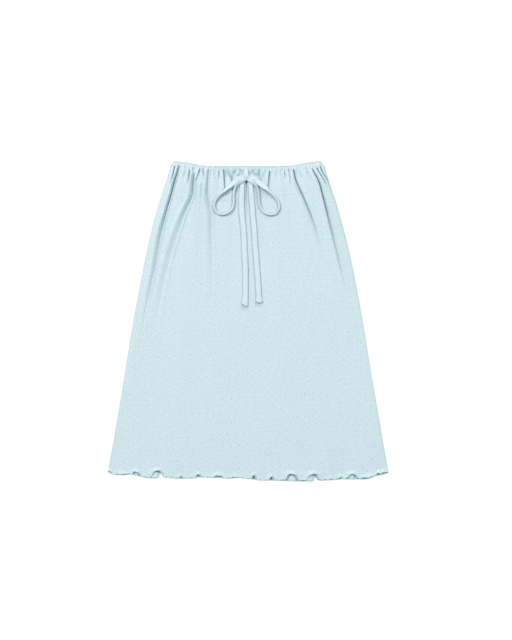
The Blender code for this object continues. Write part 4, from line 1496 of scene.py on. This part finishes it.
def knot_piece():
    """The band over the bow, with creases along it."""
    base = highest(*KNOT_MIDDLE, KNOT_WIDE / 2) + GAP
    mesh, columns, rows = grid_mesh("knot", KNOT_STEPS, KNOT_ROUND)
    bow = np.linspace(-KNOT_UNDER, math.pi + KNOT_UNDER, KNOT_STEPS + 1)
    up = KNOT_MIDDLE[1] + (KNOT_HALF_HIGH - KNOT_THICK / 2) * np.cos(bow)
    arch = np.clip(np.sin(bow), 0, 1) ** KNOT_ARCH
    height = base + KNOT_THICK / 2 + (KNOT_RISE - KNOT_THICK) * arch
    line = np.stack([np.full_like(up, KNOT_MIDDLE[0]), up, height], axis=1)
    side = np.array([1.0, 0.0, 0.0])
    rise = np.cross(side, unit(np.gradient(line, axis=0)))
    wide = KNOT_WIDE * smooth(np.linspace(0.0, 1.0, len(line)), KNOT_ALONG, KNOT_SHARES)
    flat, over = squared(2 * math.pi * rows / KNOT_ROUND, KNOT_SQUARE)
    over = over * (1 - KNOT_GROOVE * np.cos(KNOT_GROOVES * math.pi * flat + KNOT_GROOVE_SHIFT))
    points = (line[columns] + side * (flat * wide[columns] / 2)[:, None]
              + rise[columns] * (over * KNOT_THICK / 2)[:, None])
    cloth = np.stack([KNOT_WIDE * TAPE_AROUND * rows / KNOT_ROUND,
                      KNOT_LENGTH * columns / KNOT_STEPS], axis=1)
    return tube_piece("knot_of_string", mesh, points, cloth, STRING_KNIT, "tape", "drawstring_knot")


knot = knot_piece()
print("knot is", KNOT_WIDE, "mm wide")

# %% [markdown]
# ## What the soft pieces really are
# The panels are sheets, laid and gathered, with the size they were cut to. The four stretches
# of the string are cords that leave the knot.

# %% Declare cloth and string
CUT_WAIST = 0.465
CUT_HEM = 0.600
CUT_LENGTH = 0.690
CUT_AREA = (CUT_WAIST + CUT_HEM) / 2 * CUT_LENGTH

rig.sheet(front, flat=(CUT_HEM, CUT_LENGTH), area=CUT_AREA, held="laid", rests_on=["back_of_knit"],
         with_pieces=[casing_front, front_hem, left_seam, right_seam])
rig.sheet(back, flat=(CUT_HEM, CUT_LENGTH), area=CUT_AREA, held="laid", rests_on=[],
         with_pieces=[casing_back, back_hem])
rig.cord(left_loop, exit=left_loop_line[0], length=left_loop_length, diameter=TAPE_WIDE * MM,
        far_end="object", stiffness="limp", lay="loose", path=left_loop_line, with_pieces=[knot])
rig.cord(right_loop, exit=right_loop_line[0], length=right_loop_length, diameter=TAPE_WIDE * MM,
        far_end="object", stiffness="limp", lay="loose", path=right_loop_line)
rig.cord(left_tail, exit=left_tail_line[0], length=left_tail_length, diameter=TAPE_WIDE * MM,
        far_end="bare", stiffness="limp", lay="loose", path=left_tail_line)
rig.cord(right_tail, exit=right_tail_line[0], length=right_tail_length, diameter=TAPE_WIDE * MM,
        far_end="bare", stiffness="limp", lay="loose", path=right_tail_line)
print("cut area of a panel", round(CUT_AREA, 3), "square metres")

# %% [markdown]
# ## Finish
# The two boxes, before and after the looks were added, are written to a file.

# %% Write the sizes and finish
boxes = {"cad": [list(corner) for corner in CAD_BOX], "visual": [list(corner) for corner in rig.bounds()]}
with open("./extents.json", "w") as size_file:
    json.dump(boxes, size_file)
print("sizes", boxes)
